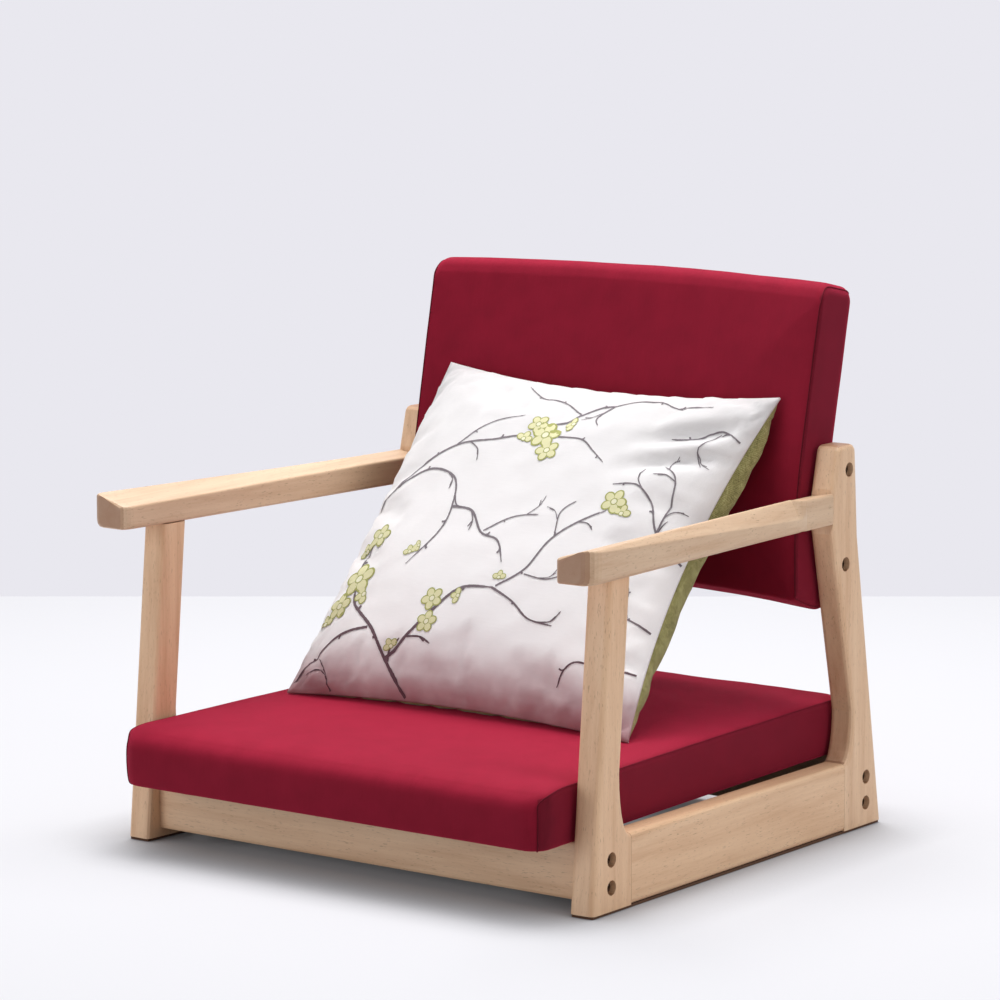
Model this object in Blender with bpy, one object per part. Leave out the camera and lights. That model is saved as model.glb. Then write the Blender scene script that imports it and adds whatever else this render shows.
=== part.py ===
# Floor chair with arms: two bolted side frames in light wood, a padded seat,
# a padded back and a loose pillow.
# Metres, +Z up. The front is at -Y. Left and right are as seen from the front,
# so right is at +X. The origin is on the floor under the middle of the box.
import math

import bmesh
import bpy
from mathutils import Vector
from mathutils.bvhtree import BVHTree

for old in list(bpy.data.objects):
    bpy.data.objects.remove(old, do_unlink=True)

# General clearances
gap = 0.0003
foam_gap = 0.0006
sheet_gap = 0.0012
cut_margin = 0.002
edge_round = 0.005
edge_steps = 3
seam_inset = 0.0035
seam_rise = 0.0010
below_seam_inset = 0.0007
hole_segments = 20
bolt_segments = 12
screw_segments = 12

# Side frames, which draw together toward the back
frame_front_half_width = 0.285
frame_rear_half_width = 0.2695
base_depth = 0.517
frame_thickness = 0.027
felt_thickness = 0.0025
felt_margin = 0.002
rail_top = 0.071
arm_underside = 0.315

# Front leg, measured back from the front of the foot
leg_lean = 0.0275
leg_top_depth = 0.034
leg_waist_depth = 0.0455
leg_foot_depth = 0.0635
leg_fillet_height = 0.059

# Rear post, measured forward from the rear of the foot
post_foot_depth = 0.0715
post_waist_depth = 0.0565
post_fillet_height = 0.051
post_arm_depth = 0.0985
post_bend_height = 0.300
post_bend_setback = 0.0502
post_top_setback = 0.056
post_top_front_setback = 0.0905
post_height = 0.392
post_corner_radius = 0.008
post_flat_below_arm = 0.010
post_flat_above_arm = 0.035

# Side rail tenons
tenon_thickness = 0.012
tenon_height = 0.042
tenon_length = 0.018
tenon_end_gap = 0.001

# Armrest sections: heights above the arm's underside
arm_front_overhang = 0.0275
arm_outer_front = 0.0185
arm_outer_rear = 0.002
arm_ridge_height = 0.0330
arm_tail_height = 0.0315
arm_inner_front_height = 0.0225
arm_inner_rear_height = 0.0270
arm_face_front_height = 0.0312
arm_face_rear_height = 0.0130
arm_bevel_front_width = 0.0025
arm_bevel_rear_width = 0.0100
arm_bevel_full_share = 0.60
arm_stop_to_post = 0.050
arm_stop_length = 0.018
arm_front_outer_radius = 0.014
arm_front_inner_radius = 0.009
arm_corner_radius = 0.003
arm_underside_radius = 0.008
arm_corner_steps = 4
arm_front_edge_drop = 0.002
corner_reach_share = 0.45

# Dowels that hold the armrests
dowel_radius = 0.005
dowel_half_length = 0.014
dowel_drop_in_tail = 0.016

# Cross rails
cross_rail_thickness = 0.027
cross_rail_bottom = 0.011
front_rail_setback = 0.017
rear_rail_setback = 0.0165
cross_rail_round = 0.003

# Bolts, 6 mm, with socket heads sunk in the frames
bolt_radius = 0.003
bolt_head_radius = 0.0055
bolt_head_height = 0.005
bolt_head_chamfer = 0.0007
bolt_tip_chamfer = 0.0009
bolt_length = 0.047
back_bolt_length = 0.038
bolt_socket_width = 0.004
bolt_socket_depth = 0.0028
bolt_fit = 0.0004
counterbore_radius = 0.0072
counterbore_depth = 0.010
insert_radius = 0.005
insert_length = 0.018
back_insert_length = 0.013
insert_recess = 0.001
low_bolt_height = 0.025
high_bolt_height = 0.0515
back_low_bolt_height = 0.273
back_high_bolt_height = 0.367
back_low_bolt_offset = 0.0020
back_high_bolt_offset = -0.0010

# Seat pad
seat_front_overhang = 0.0445
seat_rear_setback = 0.0235
seat_bottom_front = 0.066
seat_bottom_rear = 0.074
seat_wall = 0.056
seat_crown = 0.0045
seat_side_clearance = 0.0022
seat_corner_radius = 0.022
seat_flat_margin = 0.003
seat_front_drop = 0.014
seat_front_drop_length = 0.042
seat_side_pull = 0.0015
seat_foot_tuck = 0.0015
seat_hem_step = 0.004
seat_board_inset = 0.0015
seat_crown_reach = 0.190
seat_board_thickness = 0.011
board_edge_ease = 0.0015
cover_thickness = 0.0014
cover_hem = 0.020
lining_clearance = 0.0010

# Back pad: its middle surface leans back above a bend and is hollow in plan
back_bottom = 0.222
back_top = 0.546
back_setback = 0.0905
back_bend_start = 0.285
back_bend_length = 0.090
back_slope_share = 0.205
back_hollow = 0.023
back_side_clearance = 0.0008
back_front_depth = 0.0275
back_rear_depth = 0.026
back_crown = 0.006
back_top_crown = 0.003
back_corner_radius = 0.012
back_front_round = 0.016
back_rear_round = 0.009
back_bottom_rise = 0.016
back_bottom_arch = 0.005
back_side_pull = 0.0010
back_crown_reach = 0.150
back_board_thickness = 0.020
back_hem_step = 0.003
cover_hole_radius = 0.0045

# Cleats and screws under the seat
cleat_width = 0.020
cleat_height = 0.013
cleat_length_share = 0.80
screw_radius = 0.002
screw_head_radius = 0.004
screw_head_height = 0.0025
screw_tip_length = 0.004
screw_bite = 0.008
screw_spread_share = 0.60

# Pillow: bottom edge on the seat, top edge against the back
pillow_bottom_width = 0.422
pillow_top_width = 0.414
pillow_side = 0.399
pillow_bottom_shift = -0.008
pillow_top_shift = 0.002
pillow_tilt = 0.008
pillow_bottom_from_front = 0.168
pillow_lean_degrees = 39.0
pillow_front_depth = 0.046
pillow_back_depth = 0.056
pillow_seam_half = 0.0013
pillow_cloth_thickness = 0.0011
pillow_front_flange_share = 0.045
pillow_back_flange_share = 0.0
pillow_edge_pull_share = 0.115
pillow_overflow_share = 0.11
pillow_overflow_start_share = 0.72
pillow_fullness_power = 0.50
pillow_roundness_power = 2.4
pillow_segments = 12
pillow_edge_steps = 2
pillow_rest_clearance = 0.0003
pillow_filling_gap = 0.0004
pillow_drop_height = 0.050

# Outline resolution of the pads: points in a quarter of the outline
side_points = 3
corner_points = 3
end_points = 4


# Materials
def material(name, colour, roughness, metallic=0.0):
    mat = bpy.data.materials.new(name)
    mat.use_nodes = True
    shader = mat.node_tree.nodes["Principled BSDF"]
    shader.inputs["Base Color"].default_value = (*colour, 1.0)
    shader.inputs["Roughness"].default_value = roughness
    shader.inputs["Metallic"].default_value = metallic
    return mat


light_wood = material("light_wood", (0.62, 0.42, 0.26), 0.45)
dowel_wood = material("dowel_wood", (0.66, 0.50, 0.34), 0.60)
plywood = material("plywood", (0.60, 0.45, 0.30), 0.65)
crimson_fabric = material("crimson_fabric", (0.36, 0.012, 0.045), 0.80)
dark_lining = material("dark_lining", (0.02, 0.02, 0.02), 0.90)
foam_grey = material("foam", (0.75, 0.72, 0.62), 0.95)
felt_brown = material("felt_brown", (0.09, 0.05, 0.03), 0.95)
bolt_steel = material("bolt_steel", (0.16, 0.12, 0.09), 0.40, 1.0)
insert_zinc = material("insert_zinc", (0.55, 0.50, 0.40), 0.35, 1.0)
printed_cotton = material("printed_cotton", (0.82, 0.80, 0.79), 0.85)
olive_fabric = material("olive_fabric", (0.30, 0.30, 0.09), 0.85)
pillow_fibre = material("pillow_fibre", (0.85, 0.85, 0.83), 0.95)


# Mesh builders
def make_object(name, bm, mat, parent):
    bmesh.ops.recalc_face_normals(bm, faces=bm.faces[:])
    mesh = bpy.data.meshes.new(name)
    bm.to_mesh(mesh)
    bm.free()
    mesh.shade_smooth()
    mesh.set_sharp_from_angle(angle=math.radians(35))
    obj = bpy.data.objects.new(name, mesh)
    obj.data.materials.append(mat)
    bpy.context.scene.collection.objects.link(obj)
    obj.parent = parent
    return obj


def loft(rings, closed=False, hubs=(), curved=False, reversed_rings=0):
    # Skin over a list of rings with equal counts. A closed loft joins back to its start,
    # and an open one is closed at each end by one face, or by a fan round its hub.
    # On curved layers every cell is split along the same diagonal, so that layers stay apart.
    bm = bmesh.new()
    verts = [[bm.verts.new(p) for p in ring] for ring in rings]
    count = len(verts[0])
    pairs = list(zip(verts, verts[1:]))
    if closed:
        pairs.append((verts[-1], verts[0]))
    for step, (a, b) in enumerate(pairs):
        if step < reversed_rings:
            a, b = b, a
        for i in range(count):
            j = (i + 1) % count
            if curved:
                bm.faces.new((a[i], a[j], b[j]))
                bm.faces.new((a[i], b[j], b[i]))
            else:
                bm.faces.new((a[i], a[j], b[j], b[i]))
    if not closed:
        if hubs:
            for ring, hub in zip((verts[0], verts[-1]), hubs):
                middle = bm.verts.new(hub)
                for i in range(count):
                    bm.faces.new((ring[i], ring[(i + 1) % count], middle))
        else:
            for ring in (verts[0], verts[-1]):
                bm.faces.new(ring)
    return bm


straight_limit = math.radians(1)


def offset_polygon(points, flags, distance):
    # Moves each flagged edge inward, for a polygon that runs counter-clockwise
    count = len(points)
    result = []
    for i in range(count):
        before, here, after = points[i - 1], points[i], points[(i + 1) % count]
        d1 = (Vector(here) - Vector(before)).normalized()
        d2 = (Vector(after) - Vector(here)).normalized()
        n1 = Vector((-d1.y, d1.x))
        n2 = Vector((-d2.y, d2.x))
        o1 = distance if flags[i - 1] else 0.0
        o2 = distance if flags[i] else 0.0
        cross = d1.x * d2.y - d1.y * d2.x
        p1 = Vector(here) + n1 * o1
        p2 = Vector(here) + n2 * o2
        if abs(cross) < math.sin(straight_limit):
            result.append((p1 + p2) / 2)
        else:
            t = ((p2.x - p1.x) * d2.y - (p2.y - p1.y) * d2.x) / cross
            result.append(p1 + d1 * t)
    return [(p.x, p.y) for p in result]


def slab(name, outline, mat, side, parent, radius=edge_round):
    # A board in a side frame's plane, rounded along every edge that isn't a joint.
    # outline is a list of (y, z, rounded), and x runs inward from the outer face.
    points = [(p[0], p[1]) for p in outline]
    flags = [p[2] for p in outline]
    rings = []
    for k in range(edge_steps + 1):
        turn = math.pi / 2 * k / edge_steps
        ring = offset_polygon(points, flags, radius * (1 - math.sin(turn)))
        rings.append((radius * (1 - math.cos(turn)), ring))
    depths = rings + [(frame_thickness - x, ring) for x, ring in reversed(rings)]
    solid = [[(-side * x, y, z) for y, z in ring] for x, ring in depths]
    return make_object(name, loft(solid), mat, parent)


def box(name, low, high, mat, parent):
    bm = bmesh.new()
    corners = [bm.verts.new((x, y, z)) for x in (low[0], high[0])
               for y in (low[1], high[1]) for z in (low[2], high[2])]
    for face in ((0, 1, 3, 2), (4, 6, 7, 5), (0, 4, 5, 1), (2, 3, 7, 6), (0, 2, 6, 4), (1, 5, 7, 3)):
        bm.faces.new([corners[i] for i in face])
    return make_object(name, bm, mat, parent)


def circle(radius, along, segments=bolt_segments):
    # A ring of points about the X axis
    turn = 2 * math.pi / segments
    return [(along, radius * math.cos(turn * i), radius * math.sin(turn * i)) for i in range(segments)]


def hexagon(width, along):
    # A ring of points on a hexagon about the X axis, width across its flats
    points = []
    for i in range(bolt_segments):
        angle = 2 * math.pi * i / bolt_segments
        inside = (angle + math.pi / 6) % (math.pi / 3) - math.pi / 6
        radius = width / 2 / math.cos(inside)
        points.append((along, radius * math.cos(angle), radius * math.sin(angle)))
    return points


def turned(name, rings, mat, parent, location, rotation=(0.0, 0.0, 0.0), closed=False):
    obj = make_object(name, loft(rings, closed=closed), mat, parent)
    obj.location = location
    obj.rotation_euler = rotation
    return obj


def hide_cutter(cutter):
    cutter.hide_render = True
    cutter.display_type = "WIRE"
    cutter.data.materials.clear()


def cut(target, cutter):
    hide_cutter(cutter)
    modifier = target.modifiers.new("cut_" + cutter.name, "BOOLEAN")
    modifier.operation = "DIFFERENCE"
    modifier.solver = "EXACT"
    modifier.object = cutter


def add(target, tool):
    hide_cutter(tool)
    modifier = target.modifiers.new("add_" + tool.name, "BOOLEAN")
    modifier.operation = "UNION"
    modifier.solver = "EXACT"
    modifier.object = tool


def blend(a, b, share):
    return a + (b - a) * share


# The whole chair hangs on one empty, which is moved at the end
chair = bpy.data.objects.new("floor_chair", None)
bpy.context.scene.collection.objects.link(chair)

# Frame geometry shared by the parts
foot_front = -base_depth / 2
foot_rear = base_depth / 2
frame_mid_half_width = (frame_front_half_width + frame_rear_half_width) / 2
splay = math.atan2(frame_front_half_width - frame_rear_half_width, base_depth)
wood_bottom = felt_thickness + gap
arm_joint_y = foot_rear - post_arm_depth
sides = {"right": 1, "left": -1}


def inner_half_width(y):
    # Half the room between the side frames at a depth
    return frame_mid_half_width - frame_thickness / math.cos(splay) - math.tan(splay) * y


frames = {}
for label, side in sides.items():
    frame = bpy.data.objects.new("side_frame_" + label, None)
    bpy.context.scene.collection.objects.link(frame)
    frame.parent = chair
    frame.location = (side * frame_mid_half_width, 0.0, 0.0)
    frame.rotation_euler = (0.0, 0.0, side * splay)
    frames[label] = frame

# Front legs
leg_joint = foot_front + leg_foot_depth
leg_waist = foot_front + leg_waist_depth
leg_top_front = foot_front + leg_lean
leg_top_rear = leg_top_front + leg_top_depth
fillet_steps = 7


def leg_outline():
    points = [(foot_front, wood_bottom, False), (leg_joint - gap, wood_bottom, False)]
    for k in range(fillet_steps, -1, -1):
        turn = math.pi / 2 * k / fillet_steps
        y = leg_waist + (leg_joint - gap - leg_waist) * (1 - math.cos(turn))
        z = rail_top + leg_fillet_height * (1 - math.sin(turn))
        points.append((y, z, True))
    points.append((leg_top_rear, arm_underside - gap, False))
    points.append((leg_top_front, arm_underside - gap, True))
    return points


# Rear posts
post_joint = foot_rear - post_foot_depth
post_waist = foot_rear - post_waist_depth
post_bend = foot_rear - post_bend_setback
post_top_rear = foot_rear - post_top_setback
post_top_front = foot_rear - post_top_front_setback
corner_steps = 3


def post_outline():
    points = [(post_joint + gap, wood_bottom, False), (foot_rear, wood_bottom, True)]
    points.append((post_bend, post_bend_height, True))
    for k in range(corner_steps + 1):
        turn = math.pi / 2 * k / corner_steps
        y = post_top_rear - post_corner_radius * (1 - math.cos(turn))
        z = post_height - post_corner_radius * (1 - math.sin(turn))
        points.append((y, z, True))
    for k in range(corner_steps + 1):
        turn = math.pi / 2 * k / corner_steps
        y = post_top_front + post_corner_radius * (1 - math.sin(turn))
        z = post_height - post_corner_radius * (1 - math.cos(turn))
        points.append((y, z, True))
    points.append((arm_joint_y, arm_underside + post_flat_above_arm, False))
    points.append((arm_joint_y, arm_underside - post_flat_below_arm, True))
    for k in range(fillet_steps + 1):
        turn = math.pi / 2 * k / fillet_steps
        y = post_waist - (post_waist - post_joint - gap) * (1 - math.cos(turn))
        z = rail_top + post_fillet_height * (1 - math.sin(turn))
        points.append((y, z, k < fillet_steps))
    return points


legs, posts, rails, arms = {}, {}, {}, {}
mid_depth = frame_thickness / 2
tenon_middle = (wood_bottom + rail_top) / 2
for label, side in sides.items():
    frame = frames[label]
    legs[label] = slab("front_leg_" + label, leg_outline(), light_wood, side, frame)
    posts[label] = slab("rear_post_" + label, post_outline(), light_wood, side, frame)

    # Side rail with a tenon at each end
    rail_points = [(leg_joint, wood_bottom, True), (post_joint, wood_bottom, False),
                   (post_joint, rail_top, True), (leg_joint, rail_top, False)]
    rails[label] = slab("side_rail_" + label, rail_points, light_wood, side, frame)
    for end, joint, away in (("front", leg_joint, -1), ("rear", post_joint, 1)):
        half = tenon_thickness / 2
        low_z, high_z = tenon_middle - tenon_height / 2, tenon_middle + tenon_height / 2
        root = joint - away * cut_margin
        tip = joint + away * tenon_length
        low = (-side * mid_depth - half, min(root, tip), low_z)
        high = (-side * mid_depth + half, max(root, tip), high_z)
        tenon = box(f"tenon_{end}_{label}", low, high, light_wood, frame)
        add(rails[label], tenon)
        tip += away * tenon_end_gap
        low = (low[0] - gap, min(root, tip), low_z - gap)
        high = (high[0] + gap, max(root, tip), high_z + gap)
        mortise = box(f"mortise_{end}_{label}", low, high, light_wood, frame)
        cut(legs[label] if end == "front" else posts[label], mortise)

    # Felt under the whole side frame
    felt_in = side * (frame_thickness - felt_margin)
    felt_out = side * felt_margin
    box("felt_strip_" + label, (min(-felt_in, -felt_out), foot_front + felt_margin, 0.0),
        (max(-felt_in, -felt_out), foot_rear - felt_margin, felt_thickness), felt_brown, frame)


# Armrests
def rounded_section(corners, steps):
    # corners is a list of (x, z, radius) in order; each turns into an arc of points
    points = []
    count = len(corners)
    for i in range(count):
        here = Vector(corners[i][:2])
        before = (Vector(corners[i - 1][:2]) - here)
        after = (Vector(corners[(i + 1) % count][:2]) - here)
        angle = before.angle(after)
        reach = corners[i][2] / math.tan(angle / 2)
        reach = min(reach, before.length * corner_reach_share, after.length * corner_reach_share)
        start = here + before.normalized() * reach
        end = here + after.normalized() * reach
        for k in range(steps):
            t = k / (steps - 1)
            points.append(start * (1 - t) ** 2 + here * 2 * t * (1 - t) + end * t ** 2)
    return points


arm_front_y = leg_top_front - arm_front_overhang - arm_front_outer_radius * 2
arm_stop_end = arm_joint_y - arm_stop_to_post
arm_stop_start = arm_stop_end - arm_stop_length


def arm_section(y, inner_trim, outer_trim, drop):
    share = min(max((y - arm_front_y) / (arm_stop_end - arm_front_y), 0.0), 1.0)
    closing = min(max((y - arm_stop_start) / (arm_stop_end - arm_stop_start), 0.0), 1.0)
    ridge_close = 1 - (1 - closing) ** 2
    face_close = closing ** 3
    outer = blend(arm_outer_front, arm_outer_rear, share)
    outer = blend(outer, 0.0, face_close) - outer_trim
    inner = -frame_thickness + inner_trim
    bevel = blend(arm_bevel_front_width, arm_bevel_rear_width, min(share / arm_bevel_full_share, 1.0))
    face = blend(arm_face_front_height, arm_face_rear_height, share)
    ridge_z = blend(arm_ridge_height, arm_tail_height, closing)
    face = blend(face, arm_tail_height - arm_corner_radius, face_close)
    bevel = blend(bevel, arm_corner_radius / 2, ridge_close)
    inner_z = blend(arm_inner_front_height, arm_inner_rear_height, share)
    under = blend(arm_underside_radius, arm_corner_radius, face_close)
    corners = [
        (inner, drop, arm_corner_radius),
        (outer, drop, under),
        (outer, min(face, ridge_z - arm_corner_radius / 2) - drop, arm_corner_radius),
        (outer - bevel, ridge_z - drop, arm_corner_radius),
        (inner, inner_z - drop, arm_corner_radius),
    ]
    return [(x, y, arm_underside + z) for x, z in rounded_section(corners, arm_corner_steps)]


nose_stations = 5
body_stations = 6
stop_stations = 5


def arm_rings(side):
    rings = []
    stations = []
    for k in range(nose_stations + 1):
        turn = math.pi / 2 * k / nose_stations
        ahead = 1 - math.sin(turn)
        y = arm_front_y + arm_front_outer_radius * (1 - math.cos(turn))
        drop = arm_front_edge_drop * (1 - min(k, 2) / 2)
        stations.append((y, arm_front_inner_radius * ahead, arm_front_outer_radius * ahead, drop))
    body_start = arm_front_y + arm_front_outer_radius
    for k in range(1, body_stations + 1):
        stations.append((blend(body_start, arm_stop_start, k / body_stations), 0.0, 0.0, 0.0))
    for k in range(1, stop_stations + 1):
        stations.append((blend(arm_stop_start, arm_stop_end, k / stop_stations), 0.0, 0.0, 0.0))
    stations.append((arm_joint_y - gap, 0.0, 0.0, 0.0))
    for station in stations:
        rings.append([(side * x, y, z) for x, y, z in arm_section(*station)])
    return rings


for label, side in sides.items():
    frame = frames[label]
    arms[label] = make_object("armrest_" + label, loft(arm_rings(side)), light_wood, frame)
    leg_dowel_y = (leg_top_front + leg_top_rear) / 2
    places = {
        "front": ((-side * mid_depth, leg_dowel_y, arm_underside), (0.0, math.pi / 2, 0.0), legs[label]),
        "rear": ((-side * mid_depth, arm_joint_y, arm_underside + dowel_drop_in_tail),
                 (0.0, 0.0, math.pi / 2), posts[label]),
    }
    for end, (place, rotation, partner) in places.items():
        rings = [circle(dowel_radius, -dowel_half_length), circle(dowel_radius, dowel_half_length)]
        turned(f"arm_dowel_{end}_{label}", rings, dowel_wood, frame, place, rotation)
        hole_half = dowel_half_length + tenon_end_gap
        rings = [circle(dowel_radius + gap, -hole_half), circle(dowel_radius + gap, hole_half)]
        hole = turned(f"dowel_hole_{end}_{label}", rings, dowel_wood, frame, place, rotation)
        cut(arms[label], hole)
        cut(partner, hole)


# Seat and back surfaces
seat_front = foot_front - seat_front_overhang
seat_rear = foot_rear - seat_rear_setback
seat_length = seat_rear - seat_front


def seat_bottom(y):
    return blend(seat_bottom_front, seat_bottom_rear, (y - seat_front) / seat_length)


def quarter_outline():
    # A quarter of a pad's outline as shares: along the side, round the corner, along the end
    points = [("side", (k + 0.5) / side_points) for k in range(side_points)]
    points += [("corner", (k + 0.5) / corner_points) for k in range(corner_points)]
    points += [("end", 1 - (k + 0.5) / end_points) for k in range(end_points)]
    return points


def pad_outline(half_width_at, low, high, radius, inset, pull):
    # Points round a pad's outline, from the middle of its left side through its low end.
    # half_width_at gives the half width at a position between low and high, before the inset.
    middle, half = (low + high) / 2, (high - low) / 2
    radius = max(radius - inset, min(radius, half) / 4)
    left_low = []
    for kind, share in quarter_outline():
        width = half_width_at(middle) - inset
        if kind == "side":
            t = share * (half - radius)
            left_low.append((width - pull * math.cos(share * math.pi / 2), t))
        elif kind == "corner":
            turn = share * math.pi / 2
            left_low.append((width - radius * (1 - math.cos(turn)), half - radius * (1 - math.sin(turn))))
        else:
            left_low.append((share * (width - radius), half))
    points = [(-x, middle - t) for x, t in left_low]
    points += [(x, middle - t) for x, t in reversed(left_low)]
    points += [(x, middle + t) for x, t in left_low]
    points += [(-x, middle + t) for x, t in reversed(left_low)]
    return [(x * (half_width_at(t) - inset) / (half_width_at(middle) - inset), t) for x, t in points]


def seat_half_width(y):
    return inner_half_width(y) - seat_side_clearance


def seat_ring(height, inset):
    # The pad's outline at a height above its bottom, with a front that falls away
    points = []
    low, high = seat_front + inset, seat_rear - inset
    outline = pad_outline(seat_half_width, low, high, seat_corner_radius, inset, seat_side_pull)
    for x, y in outline:
        ahead = max(seat_front + seat_front_drop_length - y, 0.0) / seat_front_drop_length
        drop = seat_front_drop * ahead ** 2 * min(height / seat_wall, 1.0)
        points.append((x, y, seat_bottom(y) + height - drop))
    return points


def seat_loft(levels, reversed_rings=0):
    middle = (seat_front + seat_rear) / 2
    hubs = [(0.0, middle, seat_bottom(middle) + levels[end][0]) for end in (0, -1)]
    return loft([seat_ring(*level) for level in levels], False, hubs, True, reversed_rings)


seat_shares = (0.06, 0.22, 0.55, 1.0)
wall_shares = (0.5, 0.92)
seam_skin_share = 0.7


def seat_levels(skin, start):
    # (height, inset) up the wall and over the crown, at a depth below the outer face
    levels = [(start, seat_foot_tuck + skin), (seat_wall * wall_shares[0], skin),
              (seat_wall * wall_shares[1], below_seam_inset + skin),
              (seat_wall - skin * seam_skin_share, seam_inset + skin * seam_skin_share)]
    for share in seat_shares:
        height = seat_wall + seat_crown * (1 - (1 - share) ** 2) + seam_rise - skin
        levels.append((height, seat_crown_reach * share + skin * (1 - share)))
    return levels


# Seat cover: outer face, folded under the board in a hem
outer = seat_levels(0.0, seat_hem_step)
inner = [(cover_thickness, seat_hem_step + cover_thickness)] + seat_levels(cover_thickness, seat_hem_step)
hem = [(cover_thickness, cover_hem), (0.0, cover_hem), (0.0, seat_hem_step)]
shell = seat_loft(list(reversed(inner)) + hem + outer, len(inner))
seat_cover = make_object("seat_cover", shell, crimson_fabric, chair)

# Layers inside the cover are flat behind its falling front edge
seat_flat_inset = seat_front_drop_length + seat_flat_margin
board_low = cover_thickness + gap
board_high = board_low + seat_board_thickness
board_inset = cover_thickness + gap + seat_board_inset
board_levels = [(board_low, seat_flat_inset), (board_low, seat_hem_step + cover_thickness + gap),
                (seat_hem_step + gap, board_inset), (board_high - board_edge_ease, board_inset),
                (board_high, board_inset + board_edge_ease), (board_high, seat_flat_inset)]
seat_board = make_object("seat_board", seat_loft(board_levels), plywood, chair)

foam_skin = cover_thickness + foam_gap
foam_low = board_high + foam_gap
foam_levels = [(foam_low, seat_flat_inset)] + seat_levels(foam_skin, foam_low)
make_object("seat_foam", seat_loft(foam_levels), foam_grey, chair)

lining_inset = cover_hem + lining_clearance
lining_high = cover_thickness - gap
lining_levels = [(0.0, seat_flat_inset), (0.0, lining_inset), (lining_high, lining_inset),
                 (lining_high, seat_flat_inset)]
seat_lining = make_object("seat_lining", seat_loft(lining_levels), dark_lining, chair)

# Front and rear rails under the seat, with ends that follow the frames
front_rail_y = foot_front + front_rail_setback
rear_rail_y = foot_rear - rear_rail_setback - cross_rail_thickness


def cross_rail(name, start, top):
    end = start + cross_rail_thickness
    corners = [(start, cross_rail_bottom), (end, cross_rail_bottom), (end, top), (start, top)]
    profile = []
    for y, z, radius_y, radius_z in (
            (corners[0][0], corners[0][1], 1, 1), (corners[1][0], corners[1][1], -1, 1),
            (corners[2][0], corners[2][1], -1, -1), (corners[3][0], corners[3][1], 1, -1)):
        arc = []
        for k in range(3):
            turn = math.pi / 2 * k / 2
            arc.append((y + radius_y * cross_rail_round * (1 - math.sin(turn)),
                        z + radius_z * cross_rail_round * (1 - math.cos(turn))))
        if radius_y * radius_z > 0:
            arc.reverse()
        profile += arc
    rings = []
    for side in (-1, 1):
        rings.append([(side * (inner_half_width(y) - gap), y, z) for y, z in profile])
    return make_object(name, loft(rings), light_wood, chair)


front_rail = cross_rail("front_rail", front_rail_y, seat_bottom(front_rail_y) - gap)
rear_rail = cross_rail("rear_rail", rear_rail_y, seat_bottom(rear_rail_y) - gap)

# Cleats on the inner faces of those rails, screwed up into the seat board
front_cleat_y = front_rail_y + cross_rail_thickness + gap
rear_cleat_y = rear_rail_y - cleat_width - gap
screw_x = inner_half_width(0.0) * screw_spread_share
for end, start in (("front", front_cleat_y), ("rear", rear_cleat_y)):
    top = seat_bottom(start) - gap
    reach = inner_half_width(start + cleat_width) * cleat_length_share
    low = (-reach, start, top - cleat_height)
    cleat = box("seat_cleat_" + end, low, (reach, start + cleat_width, top), light_wood, chair)
    for label, side in sides.items():
        middle = start + cleat_width / 2
        base = top - cleat_height - gap
        tip = seat_bottom(middle) + board_low + screw_bite
        steps = [(screw_head_radius, base - screw_head_height), (screw_head_radius, base),
                 (screw_radius, base), (screw_radius, tip - screw_tip_length), (screw_radius / 4, tip)]
        rings = [circle(radius, height, screw_segments) for radius, height in steps]
        turn = (0.0, -math.pi / 2, 0.0)
        place = (side * screw_x, middle, 0.0)
        turned(f"seat_screw_{end}_{label}", rings, bolt_steel, chair, place, turn)
        rings = [circle(screw_radius + gap, height, screw_segments)
                 for height in (base - cut_margin, tip + tenon_end_gap)]
        hole = turned(f"screw_hole_{end}_{label}", rings, bolt_steel, chair, place, turn)
        for target in (cleat, seat_board, seat_lining):
            cut(target, hole)

# Back pad
back_middle_y = foot_rear - back_setback


def back_centre(z):
    # The middle surface at the pad's sides: upright, then a bend, then a straight lean
    rise = z - back_bend_start
    if rise <= 0:
        return back_middle_y
    if rise <= back_bend_length:
        return back_middle_y + back_slope_share * rise ** 2 / (2 * back_bend_length)
    return back_middle_y + back_slope_share * (rise - back_bend_length / 2)


def back_lean(z):
    return back_slope_share * min(max((z - back_bend_start) / back_bend_length, 0.0), 1.0)


back_lean_reach = back_slope_share * (post_height - back_bend_start)
back_half = inner_half_width(back_middle_y + back_rear_depth + back_lean_reach)
back_half -= back_side_clearance


def back_half_width(_z):
    return back_half


def back_point(x, z, depth):
    # A point of the back pad: depth runs backward, square to the curved middle surface
    slope = back_lean(z)
    length = math.hypot(1.0, slope)
    arch = 1 - (x / back_half) ** 2
    height_share = (z - back_bottom) / (back_top - back_bottom)
    y = back_centre(z) + back_hollow * arch + depth / length
    lift = back_top_crown * height_share ** 2 + back_bottom_arch * (1 - height_share) ** 2
    return (x, y, z - depth * slope / length + lift * arch)


bottom_rise_power = 1.6


def back_span(depth, inset, top_inset):
    # The pad's low and high ends at a depth, with a bottom that rises forward
    ahead = min(max(back_rear_depth - depth, 0.0) / (back_rear_depth + back_front_depth), 1.0)
    return back_bottom + back_bottom_rise * ahead ** bottom_rise_power + inset, back_top - top_inset


def back_ring(depth, inset, top_inset):
    low, high = back_span(depth, inset, top_inset)
    outline = pad_outline(back_half_width, low, high, back_corner_radius, inset, back_side_pull)
    return [back_point(x, z, depth) for x, z in outline]


def back_loft(levels, reversed_rings=0):
    hubs = [back_point(0.0, sum(back_span(*levels[end])) / 2, levels[end][0]) for end in (0, -1)]
    return loft([back_ring(*level) for level in levels], False, hubs, True, reversed_rings)


back_shares = (0.08, 0.28, 0.60, 1.0)
round_steps = 3
rear_steps = 2


def rear_level(depth, inset):
    # A level on the rear side, inside the rounded edge
    return (depth, inset, inset - back_hem_step + back_rear_round)


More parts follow.
